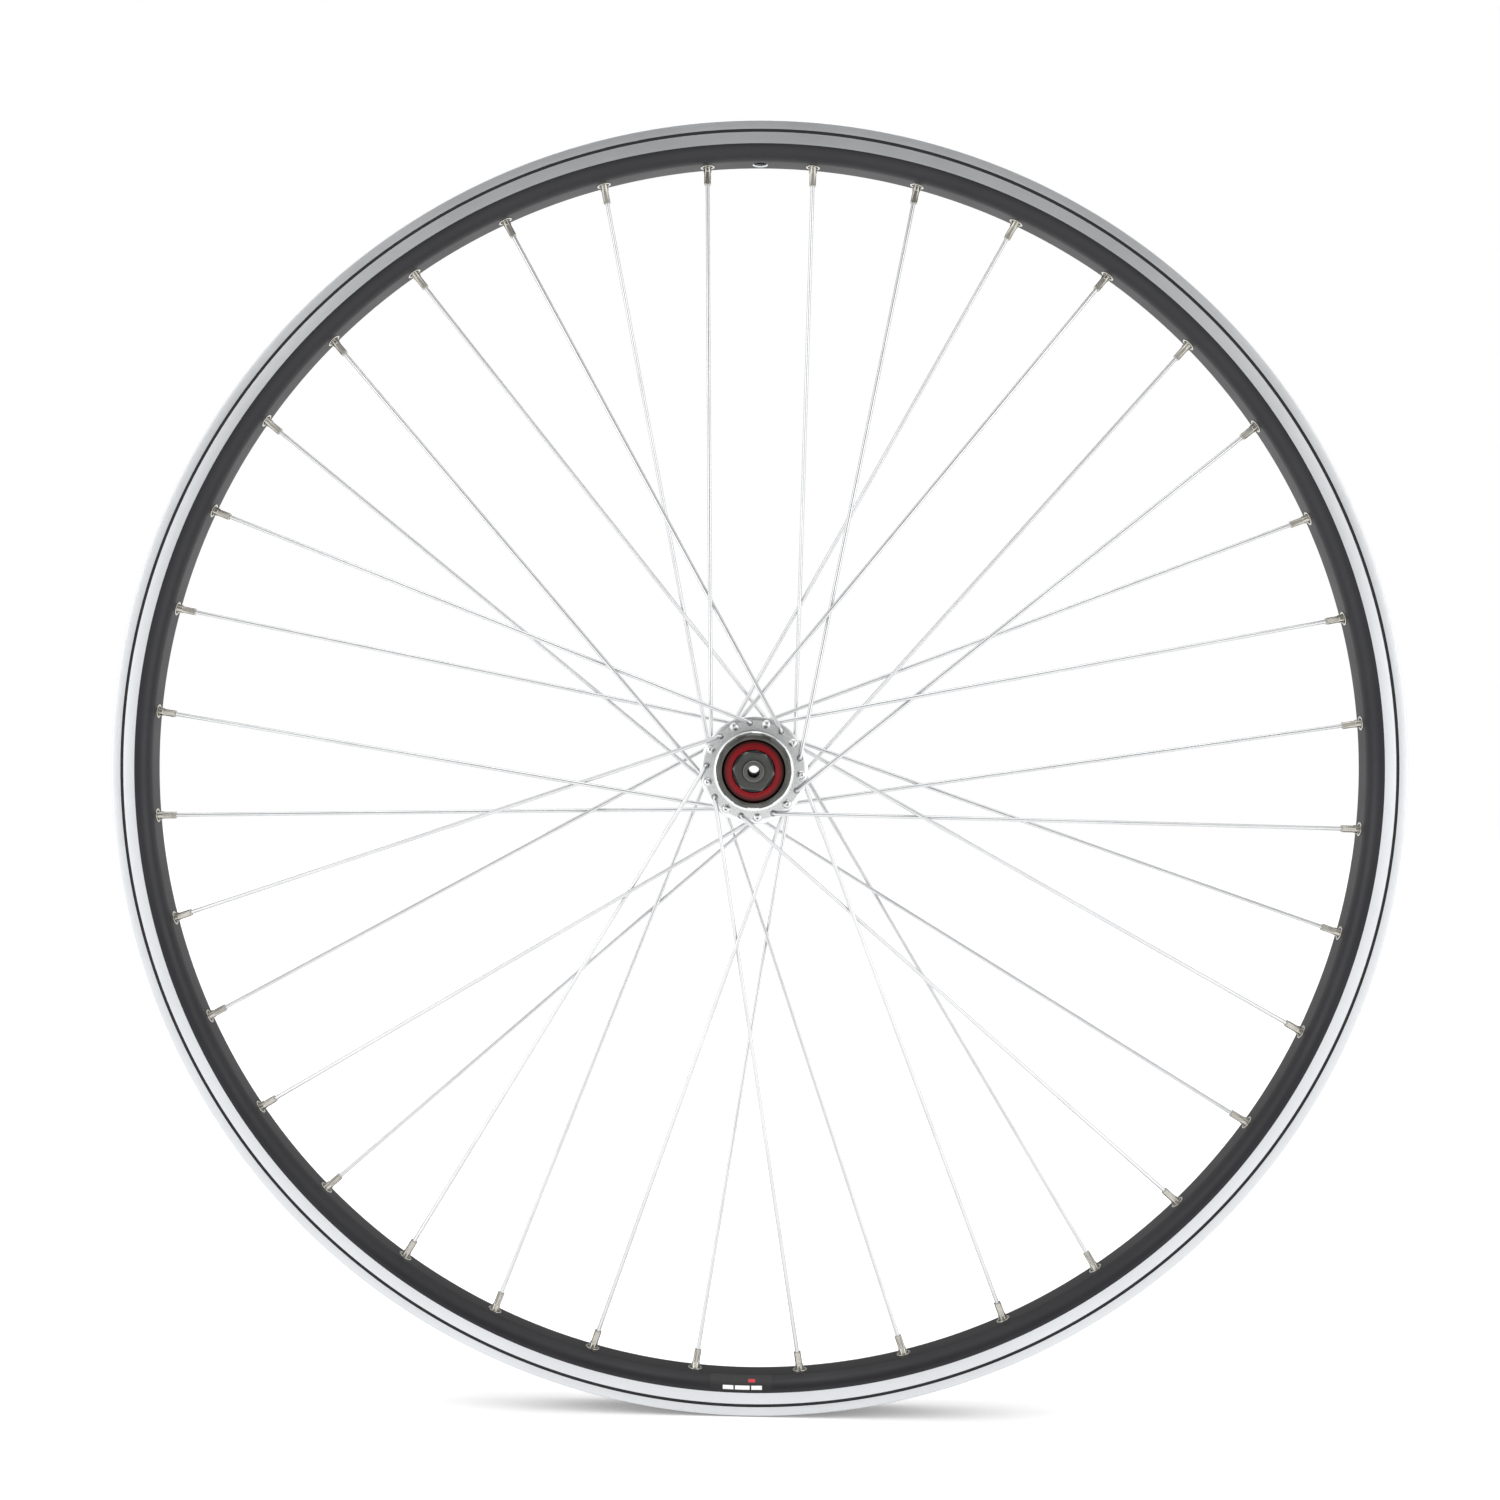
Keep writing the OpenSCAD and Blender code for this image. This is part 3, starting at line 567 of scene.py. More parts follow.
def rim_outline():
    channel = HALF_RIM - SIDE_WALL
    lip = channel - 1
    corners = [
        (GROOVE_R - GROOVE_HALF, HALF_RIM, 0.08),
        (GROOVE_R - GROOVE_FLOOR_HALF, HALF_RIM - GROOVE_DEPTH, 0.1),
        (GROOVE_R + GROOVE_FLOOR_HALF, HALF_RIM - GROOVE_DEPTH, 0.1),
        (GROOVE_R + GROOVE_HALF, HALF_RIM, 0.08),
        (EDGE_R, HALF_RIM, 0.6),
        (EDGE_R, lip, 0.5),
        (EDGE_R - 1.9, lip, 0.5),
        (EDGE_R - 2.7, channel, 0.4),
        (SEAT_R, channel, 0.5),
        (SEAT_R, HALF_WELL + 2.4, 1),
        (WELL_R, HALF_WELL, 1),
    ]
    inner = [(p[0], p[1]) for p in rounded([(TRACK_R, HALF_RIM, 0), *corners, (WELL_R, 0, 0)])]
    upper = side_arc() + inner[1:-1]
    return both_sides(upper)


def chamber_outline():
    upper = side_arc(inset_r=BED_WALL, inset_z=SIDE_WALL, steps=8) + [
        (SEAT_R - BRIDGE_WALL, HALF_RIM - SIDE_WALL - 0.3),
        (SEAT_R - BRIDGE_WALL, HALF_WELL + 2.4),
        (WELL_R - BRIDGE_WALL, HALF_WELL),
    ]
    return both_sides(upper)


def rod_between(radius, low, high, segments=32):
    """A closed round rod along +z."""
    bm = bmesh.new()
    bmesh.ops.create_cone(
        bm, cap_ends=True, segments=segments, radius1=radius, radius2=radius, depth=high - low
    )
    bmesh.ops.translate(bm, vec=(0, 0, (low + high) / 2), verts=bm.verts)
    return bm


def joined(parts):
    """Several bmeshes in one."""
    bm = bmesh.new()
    for part in parts:
        mesh = bpy.data.meshes.new("part")
        part.to_mesh(mesh)
        part.free()
        bm.from_mesh(mesh)
        bpy.data.meshes.remove(mesh)
    return bm


def rim_ring():
    steps = 360
    shell = spun(rim_outline(), steps)
    shell = cut(shell, spun(chamber_outline(), steps))
    angles = [DRIVE_FIRST + i * HOLE_STEP / 2 for i in range(2 * PER_SIDE)]
    eyelet_holes = repeated(rod_between(2.83, BED_R - 2, BED_R + 3), [at_rim(a) for a in angles])
    access = repeated(
        rod_between(ACCESS_R, WELL_R - 3, WELL_R + 3), [at_rim(a) for a in angles]
    )
    deburr = 0.55
    valve_drill = spun(
        [
            (0.001, BED_R - 2),
            (VALVE_HOLE_R + deburr, BED_R - 2),
            (VALVE_HOLE_R + deburr, BED_R - 0.02),
            (VALVE_HOLE_R, BED_R + deburr),
            (VALVE_HOLE_R, WELL_R + 3),
            (0.001, WELL_R + 3),
        ],
        48,
    )
    valve = repeated(valve_drill, [at_rim(90)])
    shell = cut(shell, joined([eyelet_holes, access, valve]))
    for face in shell.faces:
        middle = face.calc_center_median()
        radius = math.hypot(middle.x, middle.y)
        on_side = abs(middle.z) > HALF_RIM - 0.5 and radius > TRACK_R
        in_groove = abs(radius - GROOVE_R) < GROOVE_HALF + 0.05
        at_valve = (
            math.hypot(middle.x, middle.z) < VALVE_HOLE_R + deburr
            and middle.y > 0
            and BED_R + 0.02 < radius < BED_R + BED_WALL
        )
        # Slot 2 paints the wear groove nearly black: painted shade of its recess, with brake dust in
        # it
        face.material_index = 2 if on_side and in_groove else 1 if on_side or at_valve else 0
    return finished(
        shell,
        "rim_ring",
        "wheel",
        ["rim"],
        [black_anodised_aluminium, machined_aluminium, groove_shade_and_dust],
    )


def rim_sticker(length_mm):
    """The thin label that follows the rounded side of the rim."""
    steps = 14
    gap = 0.02
    thickness = 0.12
    inside = side_arc(out=gap, steps=steps)[2:-2]
    outside = side_arc(out=gap + thickness, steps=steps)[2:-2]
    sweep = math.degrees(length_mm / BED_R)
    bm = spun(inside + outside[::-1], 40, sweep)
    turn = Matrix.Rotation(math.radians(JOINT_ANGLE - sweep / 2), 4, "Z")
    bmesh.ops.transform(bm, matrix=turn, verts=bm.verts)
    return finished(bm, "rim_sticker", "wheel", ["rim_label"], [printed_label_film])


# ---- Eyelets and nipples ----


def eyelet_rings(name, node, first):
    """Pressed rings, each with a rolled lip under the bed."""
    bottom = BED_R - 0.33
    top = BED_R + BED_WALL + 0.33
    outline = rounded(
        [
            (2.5, bottom, 0.12),
            (3.5, bottom, 0.2),
            (3.5, BED_R - 0.03, 0.1),
            (2.8, BED_R - 0.03, 0),
            (2.8, top - 0.3, 0),
            (3.3, top - 0.3, 0),
            (3.3, top, 0.1),
            (2.5, top, 0.15),
        ],
        2,
    )
    template = spun(outline, 32)
    bm = repeated(template, [at_rim(first + i * HOLE_STEP) for i in range(PER_SIDE)])
    return finished(bm, name, "wheel", [node], [nickel_plated_steel])


def spoke_run():
    """Length and lean of a spoke in its own plane, from its hub hole to its rim hole."""
    to_rim = polar(NIPPLE_R, LACING_TURN) - Vector((HUB_HOLE_R, 0))
    return to_rim.length, math.degrees(math.atan2(to_rim.y, to_rim.x))


RUN, LEAN = spoke_run()


def last_cross():
    """Distance from the hub hole to the place where a spoke crosses its last neighbour."""
    near = HUB_HOLE_R * math.cos(math.radians(LEAN))
    side = HUB_HOLE_R * math.sin(math.radians(LEAN))
    return side * math.tan(math.radians((5 * HOLE_STEP + 2 * (90 - LEAN)) / 2)) - near


def spoke_angles(flange, elbow):
    """Where the spoke bends at its last crossing, and its angle before and after that."""
    x = last_cross()
    corner = Vector((x, flange * (1 - x / RUN) - elbow * CROSS_GAP / 2))
    centre = Vector((ELBOW_R, flange + elbow * (FLANGE_T / 2 - ELBOW_SINK)))
    away = corner - centre
    before = math.atan2(away.y, away.x) - elbow * math.asin(ELBOW_R / away.length)
    after = math.atan2(-corner.y, RUN - corner.x)
    return corner, centre, math.degrees(before), math.degrees(after)


def spoke_plane(rim_angle, side, way):
    """Puts a spoke's own plane in its place in the wheel."""
    hub_point = polar(HUB_HOLE_R, rim_angle - way * LACING_TURN)
    along = (polar(NIPPLE_R, rim_angle) - hub_point).normalized()
    x = Vector((along.x, along.y, 0))
    y = Vector((0, 0, side))
    z = x.cross(y)
    place = Matrix.Identity(4)
    for column, axis in enumerate((x, y, z, Vector((hub_point.x, hub_point.y, 0)))):
        for row in range(3):
            place[row][column] = axis[row]
    return place


def spoke_path(flange, elbow):
    """(point, heading) pairs along the middle of the wire, from its head to inside its nipple."""
    corner, centre, before, after = spoke_angles(flange, elbow)
    path = [(Vector((0, flange - elbow * FLANGE_T / 2)), elbow * 90)]
    elbow_sweep = 90 - elbow * before
    for k in range(11):
        turned = elbow_sweep * k / 10
        path.append((centre + polar(ELBOW_R, 180 - elbow * turned), elbow * (90 - turned)))
    turn = abs(after - before)
    tangent = BEND_R * math.tan(math.radians(turn / 2))
    bend_in = corner - polar(tangent, before)
    bend_centre = bend_in + polar(BEND_R, before + elbow * 90)
    for k in range(5):
        turned = turn * k / 4
        path.append(
            (
                bend_centre + polar(BEND_R, before - elbow * 90 + elbow * turned),
                before + elbow * turned,
            )
        )
    path.append((Vector((RUN, 0)) + polar(1.2, after), after))
    return path


def wire(path, sides=14):
    """A round wire along a path in the plane z = 0."""
    def frame_at(point, heading):
        return Matrix.Translation((point.x, point.y, 0)) @ at_rim(heading)

    bm = bmesh.new()
    start = frame_at(*path[0])
    bmesh.ops.create_circle(bm, cap_ends=True, radius=SPOKE_R, segments=sides, matrix=start)
    ring = list(bm.edges)
    here = start
    for point, heading in path[1:]:
        grown = bmesh.ops.extrude_edge_only(bm, edges=ring)["geom"]
        ring = [g for g in grown if isinstance(g, bmesh.types.BMEdge)]
        verts = [g for g in grown if isinstance(g, bmesh.types.BMVert)]
        there = frame_at(point, heading)
        bmesh.ops.transform(bm, matrix=there @ here.inverted(), verts=verts)
        here = there
    bmesh.ops.holes_fill(bm, edges=ring, sides=0)
    return bm


def spoke_head(flange, elbow):
    """A cold headed dome with a small dimple in its middle."""
    outline = rounded(
        [
            (0.001, 0, 0),
            (2.2, 0, 0.1),
            (2.2, 0.5, 0.3),
            (1.7, 1.02, 0.4),
            (0.75, 1.4, 0.25),
            (0.5, 1.1, 0.1),
            (0.001, 1.02, 0),
        ],
        3,
    )
    bm = spun(outline, 24)
    seat = Matrix.Translation((0, flange - elbow * FLANGE_T / 2, 0)) @ Matrix.Rotation(
        math.radians(elbow * 90), 4, "X"
    )
    bmesh.ops.transform(bm, matrix=seat, verts=bm.verts)
    return bm


def spoke_set(name, node, first, side, flange, elbow):
    template = joined([wire(spoke_path(flange, elbow)), spoke_head(flange, elbow)])
    places = [spoke_plane(first + i * 2 * HOLE_STEP, side, elbow) for i in range(PER_SIDE // 2)]
    bm = repeated(template, places)
    return finished(bm, name, "wheel", [node], [drawn_stainless_wire])


def nipple_shape():
    """Round barrel, square wrench end and a domed head inside the rim."""
    tip = BED_R - 9 - NIPPLE_R
    shoulder = tip + 6.4
    head = 1.62
    outline = rounded(
        [
            (1.02, tip, 0.08),
            (2.0, tip, 0.35),
            (2.0, shoulder - 0.25, 0),
            (2.0, shoulder, 0),
            (2.0, head, 0),
            (3.0, head, 0.15),
            (3.0, head + 1, 0.4),
            (2.0, head + 1.9, 0.4),
            (1.02, head + 2.1, 0.1),
        ],
        3,
    )
    bm = spun(outline, 32)
    flat = 1.65
    for vert in bm.verts:
        if vert.co.z < shoulder - 0.1 and math.hypot(vert.co.x, vert.co.y) > 1.3:
            vert.co.x = max(-flat, min(flat, vert.co.x))
            vert.co.y = max(-flat, min(flat, vert.co.y))
    return bm


def nipple_set(name, node, first, side, flange):
    places = []
    for i in range(PER_SIDE):
        elbow = 1 if i % 2 == 0 else -1
        after = spoke_angles(flange, elbow)[3]
        places.append(
            spoke_plane(first + i * HOLE_STEP, side, elbow)
            @ Matrix.Translation((RUN, 0, 0))
            @ at_rim(after)
        )
    bm = repeated(nipple_shape(), places)
    return finished(bm, name, "wheel", [node], [nickel_plated_brass])


# ---- Hub ----


def hub_outline():
    drive_face = DRIVE_FLANGE + FLANGE_T / 2
    drive_in = DRIVE_FLANGE - FLANGE_T / 2
    left_face = -LEFT_FLANGE - FLANGE_T / 2
    left_in = -LEFT_FLANGE + FLANGE_T / 2
    return rounded(
        [
            (15.4, SHELL_LEFT, 0.2),
            (16, SHELL_LEFT + 0.6, 0.3),
            (16, left_face - 2, 1.2),
            (19.3, left_face, 1.2),
            (24.4, left_face, 0.6),
            (26.2, left_face + 0.55, 0.4),
            (26.2, left_in, 0.5),
            (19.3, left_in, 1.5),
            (16.9, left_in + 0.8, 1.5),
            (14.5, left_in + 3, 2),
            (13.5, left_in + 6, 3),
            (13.5, drive_in - 6, 3),
            (14.5, drive_in - 3, 2),
            (16.9, drive_in - 0.8, 1.5),
            (19.3, drive_in, 1.5),
            (26.2, drive_in, 0.5),
            (26.2, drive_face - 0.55, 0.4),
            (24.4, drive_face, 0.6),
            (19.3, drive_face, 0.6),
            (18.3, drive_face + 0.4, 0.4),
            (17.8, SHELL_END - 0.4, 0.2),
            (17.4, SHELL_END, 0),
            (10.4, SHELL_END, 0),
            (10.4, DRIVE_FLANGE, 0),
            (7.6, DRIVE_FLANGE - 5, 0),
            (7.6, LEFT_BALL_Z + 7, 0),
            (9.4, LEFT_BALL_Z + 4.9, 0),
            (13.63, LEFT_BALL_Z + 4.9, 0),
            (13.63, LEFT_BALL_Z - 4.3, 0),
            (14.6, LEFT_BALL_Z - 4.3, 0),
            (14.6, SHELL_LEFT, 0.1),
        ]
    )


def hub_body():
    shell = spun(hub_outline(), 192)
    # Each hole is countersunk on both faces of its flange
    half = FLANGE_T / 2
    hole = spun(
        [
            (0.001, -half - 2),
            (1.65, -half - 2),
            (1.65, -half),
            (1.25, -half + 0.35),
            (1.25, half - 0.35),
            (1.65, half),
            (1.65, half + 1),
            (0.001, half + 1),
        ],
        24,
    )
    places = []
    for first, z in ((DRIVE_FIRST, DRIVE_FLANGE), (LEFT_FIRST, -LEFT_FLANGE)):
        for i in range(PER_SIDE):
            spot = polar(HUB_HOLE_R, first - LACING_TURN + i * HOLE_STEP)
            places.append(Matrix.Translation((spot.x, spot.y, z)))
    shell = cut(shell, repeated(hole, places))
    return finished(shell, "hub_body", "wheel", ["hub_shell"], [polished_aluminium])


def left_cap():
    outer = 14.57
    outline = rounded(
        [
            (8.6, SHELL_LEFT - 0.7, 0.3),
            (outer - 2, SHELL_LEFT - 0.7, 0.6),
            (outer, SHELL_LEFT + 0.2, 0.3),
            (outer, LEFT_BALL_Z - 4.4, 0),
            (outer - 1, LEFT_BALL_Z - 4.4, 0),
            (outer - 1.2, SHELL_LEFT + 0.9, 0.2),
            (8.6, SHELL_LEFT + 0.6, 0.2),
        ]
    )
    bm = spun(outline, 96)
    return finished(
        bm, "left_cap", "wheel", ["left_dust_cap"], [black_oxide_steel]
    )


# ---- Axle ----


def thread(low, high, root, crest, pitch):
    """One ridge wound round the axle."""
    per_turn = 36
    turns = round((high - low) / pitch)
    bm = bmesh.new()
    foot = pitch * 0.44
    flat = pitch * 0.07
    profile = [(root, -foot), (crest, -flat), (crest, flat), (root, foot)]
    verts = [bm.verts.new((r, 0, low + z)) for r, z in profile]
    edges = [bm.edges.new((verts[i - 1], verts[i])) for i in range(len(verts))]
    bmesh.ops.spin(
        bm,
        geom=verts + edges,
        cent=(0, 0, 0),
        axis=(0, 0, 1),
        dvec=(0, 0, pitch / per_turn),
        angle=2 * math.pi * turns,
        steps=per_turn * turns,
    )
    bmesh.ops.holes_fill(bm, edges=[e for e in bm.edges if e.is_boundary], sides=0)
    bmesh.ops.recalc_face_normals(bm, faces=bm.faces)
    return bm


def hollow_axle():
    bore = 2.75
    root = AXLE_R - 0.45
    threaded = 14.5
    outline = rounded(
        [
            (bore, -AXLE_HALF, 0.5),
            (root, -AXLE_HALF, 0.4),
            (root, -AXLE_HALF + threaded, 0),
            (AXLE_R, -AXLE_HALF + threaded + 0.4, 0),
            (AXLE_R, AXLE_HALF - threaded - 0.4, 0),
            (root, AXLE_HALF - threaded, 0),
            (root, AXLE_HALF, 0.4),
            (bore, AXLE_HALF, 0.5),
        ],
        3,
    )
    core = spun(outline, 64)
    inset = 0.9
    ridges = [
        thread(AXLE_HALF - threaded + 0.5, AXLE_HALF - inset, root - 0.02, AXLE_R, 1),
        thread(-AXLE_HALF + inset, -AXLE_HALF + threaded - 0.5, root - 0.02, AXLE_R, 1),
    ]
    bm = joined([core, *ridges])
    return finished(
        bm, "hollow_axle", "axle_assembly", ["axle"], [rolled_thread_steel]
    )


def plain_ring(name, node, maker, inner, outer, low, high, rounding, body):
    outline = rounded(
        [(inner, low, 0.1), (outer, low, rounding), (outer, high, rounding), (inner, high, 0.1)], 3
    )
    return finished(spun(outline, 96), name, body, [node], [maker])


def hex_nut(name, node, outer_face, inner_face, turn, bevel_mm):
    """A hexagon with its edges broken, its corners chamfered on both faces, and its bore."""
    thickness = abs(outer_face - inner_face)
    corner = NUT_FLATS / 2 / math.cos(math.radians(30))
    prism = bmesh.new()
    bmesh.ops.create_cone(
        prism, cap_ends=True, segments=6, radius1=corner, radius2=corner, depth=thickness
    )
    upright = Matrix.Rotation(math.radians(turn), 4, "Z")
    bmesh.ops.transform(prism, matrix=upright, verts=prism.verts)
    bmesh.ops.bevel(
        prism,
        geom=list(prism.edges),
        offset=bevel_mm,
        affect="EDGES",
        segments=2,
        profile=0.5,
        material=-1,
    )
    half = thickness / 2
    past = half + 1
    outside = corner + 0.1
    waste = spun(
        [
            (corner - 1.1, past),
            (corner - 1.1, half),
            (outside, half - 0.9),
            (outside, -half + 0.5),
            (corner - 0.5, -half),
            (corner - 0.5, -past),
            (corner + 3, -past),
            (corner + 3, past),
        ],
        96,
    )
    lead_in = 0.3
    bore = spun(
        [
            (0.001, -past),
            (NUT_BORE_R + lead_in, -past),
            (NUT_BORE_R + lead_in, -half),
            (NUT_BORE_R, -half + lead_in),
            (NUT_BORE_R, half - lead_in),
            (NUT_BORE_R + lead_in, half),
            (NUT_BORE_R + lead_in, past),
            (0.001, past),
        ],
        64,
    )
    bm = cut(cut(prism, waste), bore)
    middle = (outer_face + inner_face) / 2
    flip = Matrix.Scale(-1 if outer_face < inner_face else 1, 4, (0, 0, 1))
    bmesh.ops.transform(bm, matrix=Matrix.Translation((0, 0, middle)) @ flip, verts=bm.verts)
    bmesh.ops.recalc_face_normals(bm, faces=bm.faces)
    return finished(bm, name, "axle_assembly", [node], [black_oxide_steel])


def broken_edges(name, node, body, maker, bevel_mm):
    bm = carried(node, bevel_mm)
    return finished(bm, name, body, [node], [maker], placed=True)


# ---- Freehub ----


def red_cap():
    """A flat ring with a raised lip, and a skirt pressed into the bearing race."""
    outline = rounded(
        [
            (9.95, CAP_BASE + 0.1, 0.1),
            (11.9, CAP_BASE, 0),
            (12, CAP_BASE - CAP_STEP, 0),
            (12.6, CAP_BASE - CAP_STEP, 0),
            (12.6, CAP_BASE, 0),
            (14.3, CAP_BASE, 0.1),
            (14.3, CAP_BASE + 0.3, 0.15),
            (13.8, CAP_BASE + 0.7, 0.3),
            (10.95, CAP_BASE + 1.1, 0.5),
            (10.55, CAP_BASE + 1.8, 0.25),
            (10.05, CAP_BASE + 1.8, 0.15),
            (9.95, CAP_BASE + 1.7, 0.05),
        ]
    )
    bm = spun(outline, 128)
    return finished(
        bm, "red_cap_ring", "wheel", ["freehub_dust_cap"], [moulded_red_nylon]
    )


def refinish(node, maker):
    """A CAD piece whose shape is right gets a better material."""
    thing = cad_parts[node]
    for slot in thing.material_slots:
        slot.material = made(maker)
    if not thing.material_slots:
        thing.data.materials.append(made(maker))


# ---- Settings ----


class WheelLookSettings(bpy.types.PropertyGroup):
    label_length: bpy.props.FloatProperty(
        name="Label length",
        description="Length of the label around the rim",
        default=0.030,
        unit="LENGTH",
    )
    nut_bevel: bpy.props.FloatProperty(
        name="Nut edge",
        description="How far the edges of the locknuts are broken",
        default=0.00025,
        unit="LENGTH",
    )
    sleeve_bevel: bpy.props.FloatProperty(
        name="Spline edge",
        description="How far the edges of the freehub's splines are broken",
        default=0.00015,
        unit="LENGTH",
    )


class WheelStageSettings(bpy.types.PropertyGroup):
    lens: bpy.props.FloatProperty(
        name="Lens",
        description="Focal length of the camera, in millimetres",
        default=45.72,
        unit="CAMERA",
    )
    camera_place: bpy.props.FloatVectorProperty(
        name="Camera",
        description="Where the camera stands",
        default=(0.0013, -0.9445, 0.0130),
        subtype="TRANSLATION",
        unit="LENGTH",
    )
    turned_left: bpy.props.FloatProperty(
        name="Turned left",
        description="Angle that the camera is turned left from the axle's direction",
        default=math.radians(1.614),
        subtype="ANGLE",
    )
    tilted_down: bpy.props.FloatProperty(
        name="Tilted down",
        description="Angle that the camera is tilted down",
        default=math.radians(0.498),
        subtype="ANGLE",
    )
    rolled: bpy.props.FloatProperty(
        name="Rolled",
        description="Angle that the camera is rolled by",
        default=math.radians(0.6),
        subtype="ANGLE",
    )
    brightness: bpy.props.FloatProperty(
        name="Soft boxes",
        description="Brightness of the three soft boxes, as a share of their usual power",
        default=1.0,
        subtype="FACTOR",
    )


# ---- Operators ----


class BuildOperator:
    bl_options = {"REGISTER"}

    def execute(self, context):
        self.build(context.scene)
        return {"FINISHED"}


class WHEEL_OT_rim(BuildOperator, bpy.types.Operator):
    """Build the rim with its spoke, access and valve holes"""

    bl_idname = "wheel.rim"
    bl_label = "Rim"

    def build(self, scene):
        rim_ring()
        refinish("rim_joint_sleeve", extruded_aluminium)


class WHEEL_OT_label(BuildOperator, bpy.types.Operator):
    """Build the label on the side of the rim"""

    bl_idname = "wheel.label"
    bl_label = "Label"

    def build(self, scene):
        rim_sticker(scene.wheel_look.label_length / MM)


class WHEEL_OT_eyelets(BuildOperator, bpy.types.Operator):
    """Build the eyelets of both sides"""

    bl_idname = "wheel.eyelets"
    bl_label = "Eyelets"

    def build(self, scene):
        eyelet_rings("drive_eyelet_rings", "drive_eyelets", DRIVE_FIRST)
        eyelet_rings("left_eyelet_rings", "left_eyelets", LEFT_FIRST)


class WHEEL_OT_nipples(BuildOperator, bpy.types.Operator):
    """Build the nipples of both sides"""

    bl_idname = "wheel.nipples"
    bl_label = "Nipples"

    def build(self, scene):
        nipple_set("drive_nipple_set", "drive_nipples", DRIVE_FIRST, 1, DRIVE_FLANGE)
        nipple_set("left_nipple_set", "left_nipples", LEFT_FIRST, -1, LEFT_FLANGE)


class WHEEL_OT_spokes(BuildOperator, bpy.types.Operator):
    """Build the four sets of spokes"""

    bl_idname = "wheel.spokes"
    bl_label = "Spokes"

    def build(self, scene):
        for side_name, first, side, flange in (
            ("drive", DRIVE_FIRST, 1, DRIVE_FLANGE),
            ("left", LEFT_FIRST, -1, LEFT_FLANGE),
        ):
            for kind, elbow in (("trailing", 1), ("leading", -1)):
                start = first if elbow == 1 else first + HOLE_STEP
                spoke_set(
                    f"{side_name}_{kind}_wires",
                    f"{side_name}_{kind}_spokes",
                    start,
                    side,
                    flange,
                    elbow,
                )


class WHEEL_OT_hub(BuildOperator, bpy.types.Operator):
    """Build the hub shell and what is pressed into its left end"""

    bl_idname = "wheel.hub"
    bl_label = "Hub"

    def build(self, scene):
        hub_body()
        left_cap()
        refinish("left_bearing_cup", ground_bearing_steel)


class WHEEL_OT_axle(BuildOperator, bpy.types.Operator):
    """Build the axle, its cones, washer, spacer and locknuts"""

    bl_idname = "wheel.axle"
    bl_label = "Axle"

    def build(self, scene):
        bevel = scene.wheel_look.nut_bevel / MM
        hollow_axle()
        end = LOCKNUT_Z + NUT_T
        hex_nut("right_locknut_hex", "right_locknut", end, LOCKNUT_Z, NUT_TURN, bevel)
        hex_nut("left_locknut_hex", "left_locknut", -end, -LOCKNUT_Z, 0, bevel)
        plain_ring(
            "right_washer_ring", "right_washer", black_oxide_steel,
            NUT_BORE_R, WASHER_R, LOCKNUT_Z - WASHER_T, LOCKNUT_Z, 0.2, "axle_assembly",
        )
        plain_ring(
            "left_spacer_ring", "left_spacer", black_oxide_steel,
            NUT_BORE_R, WASHER_R, -LOCKNUT_Z, -LOCKNUT_Z + SPACER_T, 0.35, "axle_assembly",
        )
        broken_edges(
            "left_cone_body", "left_cone", "axle_assembly",
            ground_bearing_steel, 0.12,
        )
        refinish("right_cone", ground_bearing_steel)
        refinish("right_cone_seal", moulded_nitrile_rubber)


class WHEEL_OT_freehub(BuildOperator, bpy.types.Operator):
    """Build the freehub's sleeve and everything inside it"""

    bl_idname = "wheel.freehub"
    bl_label = "Freehub"

    def build(self, scene):
        bevel = scene.wheel_look.sleeve_bevel / MM
        broken_edges(
            "splined_sleeve", "freehub_sleeve", "freehub",
            machined_dark_steel, bevel,
        )
        red_cap()
        for node in ("freehub_core", "freehub_race", "pawl_a", "pawl_b"):
            refinish(node, ground_bearing_steel)
        refinish("freehub_bolt", black_oxide_steel)
        refinish("freehub_seal", moulded_nitrile_rubber)
        refinish("pawl_springs", rolled_spring_steel)


class WHEEL_OT_balls(BuildOperator, bpy.types.Operator):
    """Finish the balls of all four bearings"""

    bl_idname = "wheel.balls"
    bl_label = "Balls"

    def build(self, scene):
        for row in ("right_hub", "left_hub", "outer_sleeve", "inner_sleeve"):
            refinish(f"{row}_balls", polished_ball_steel)


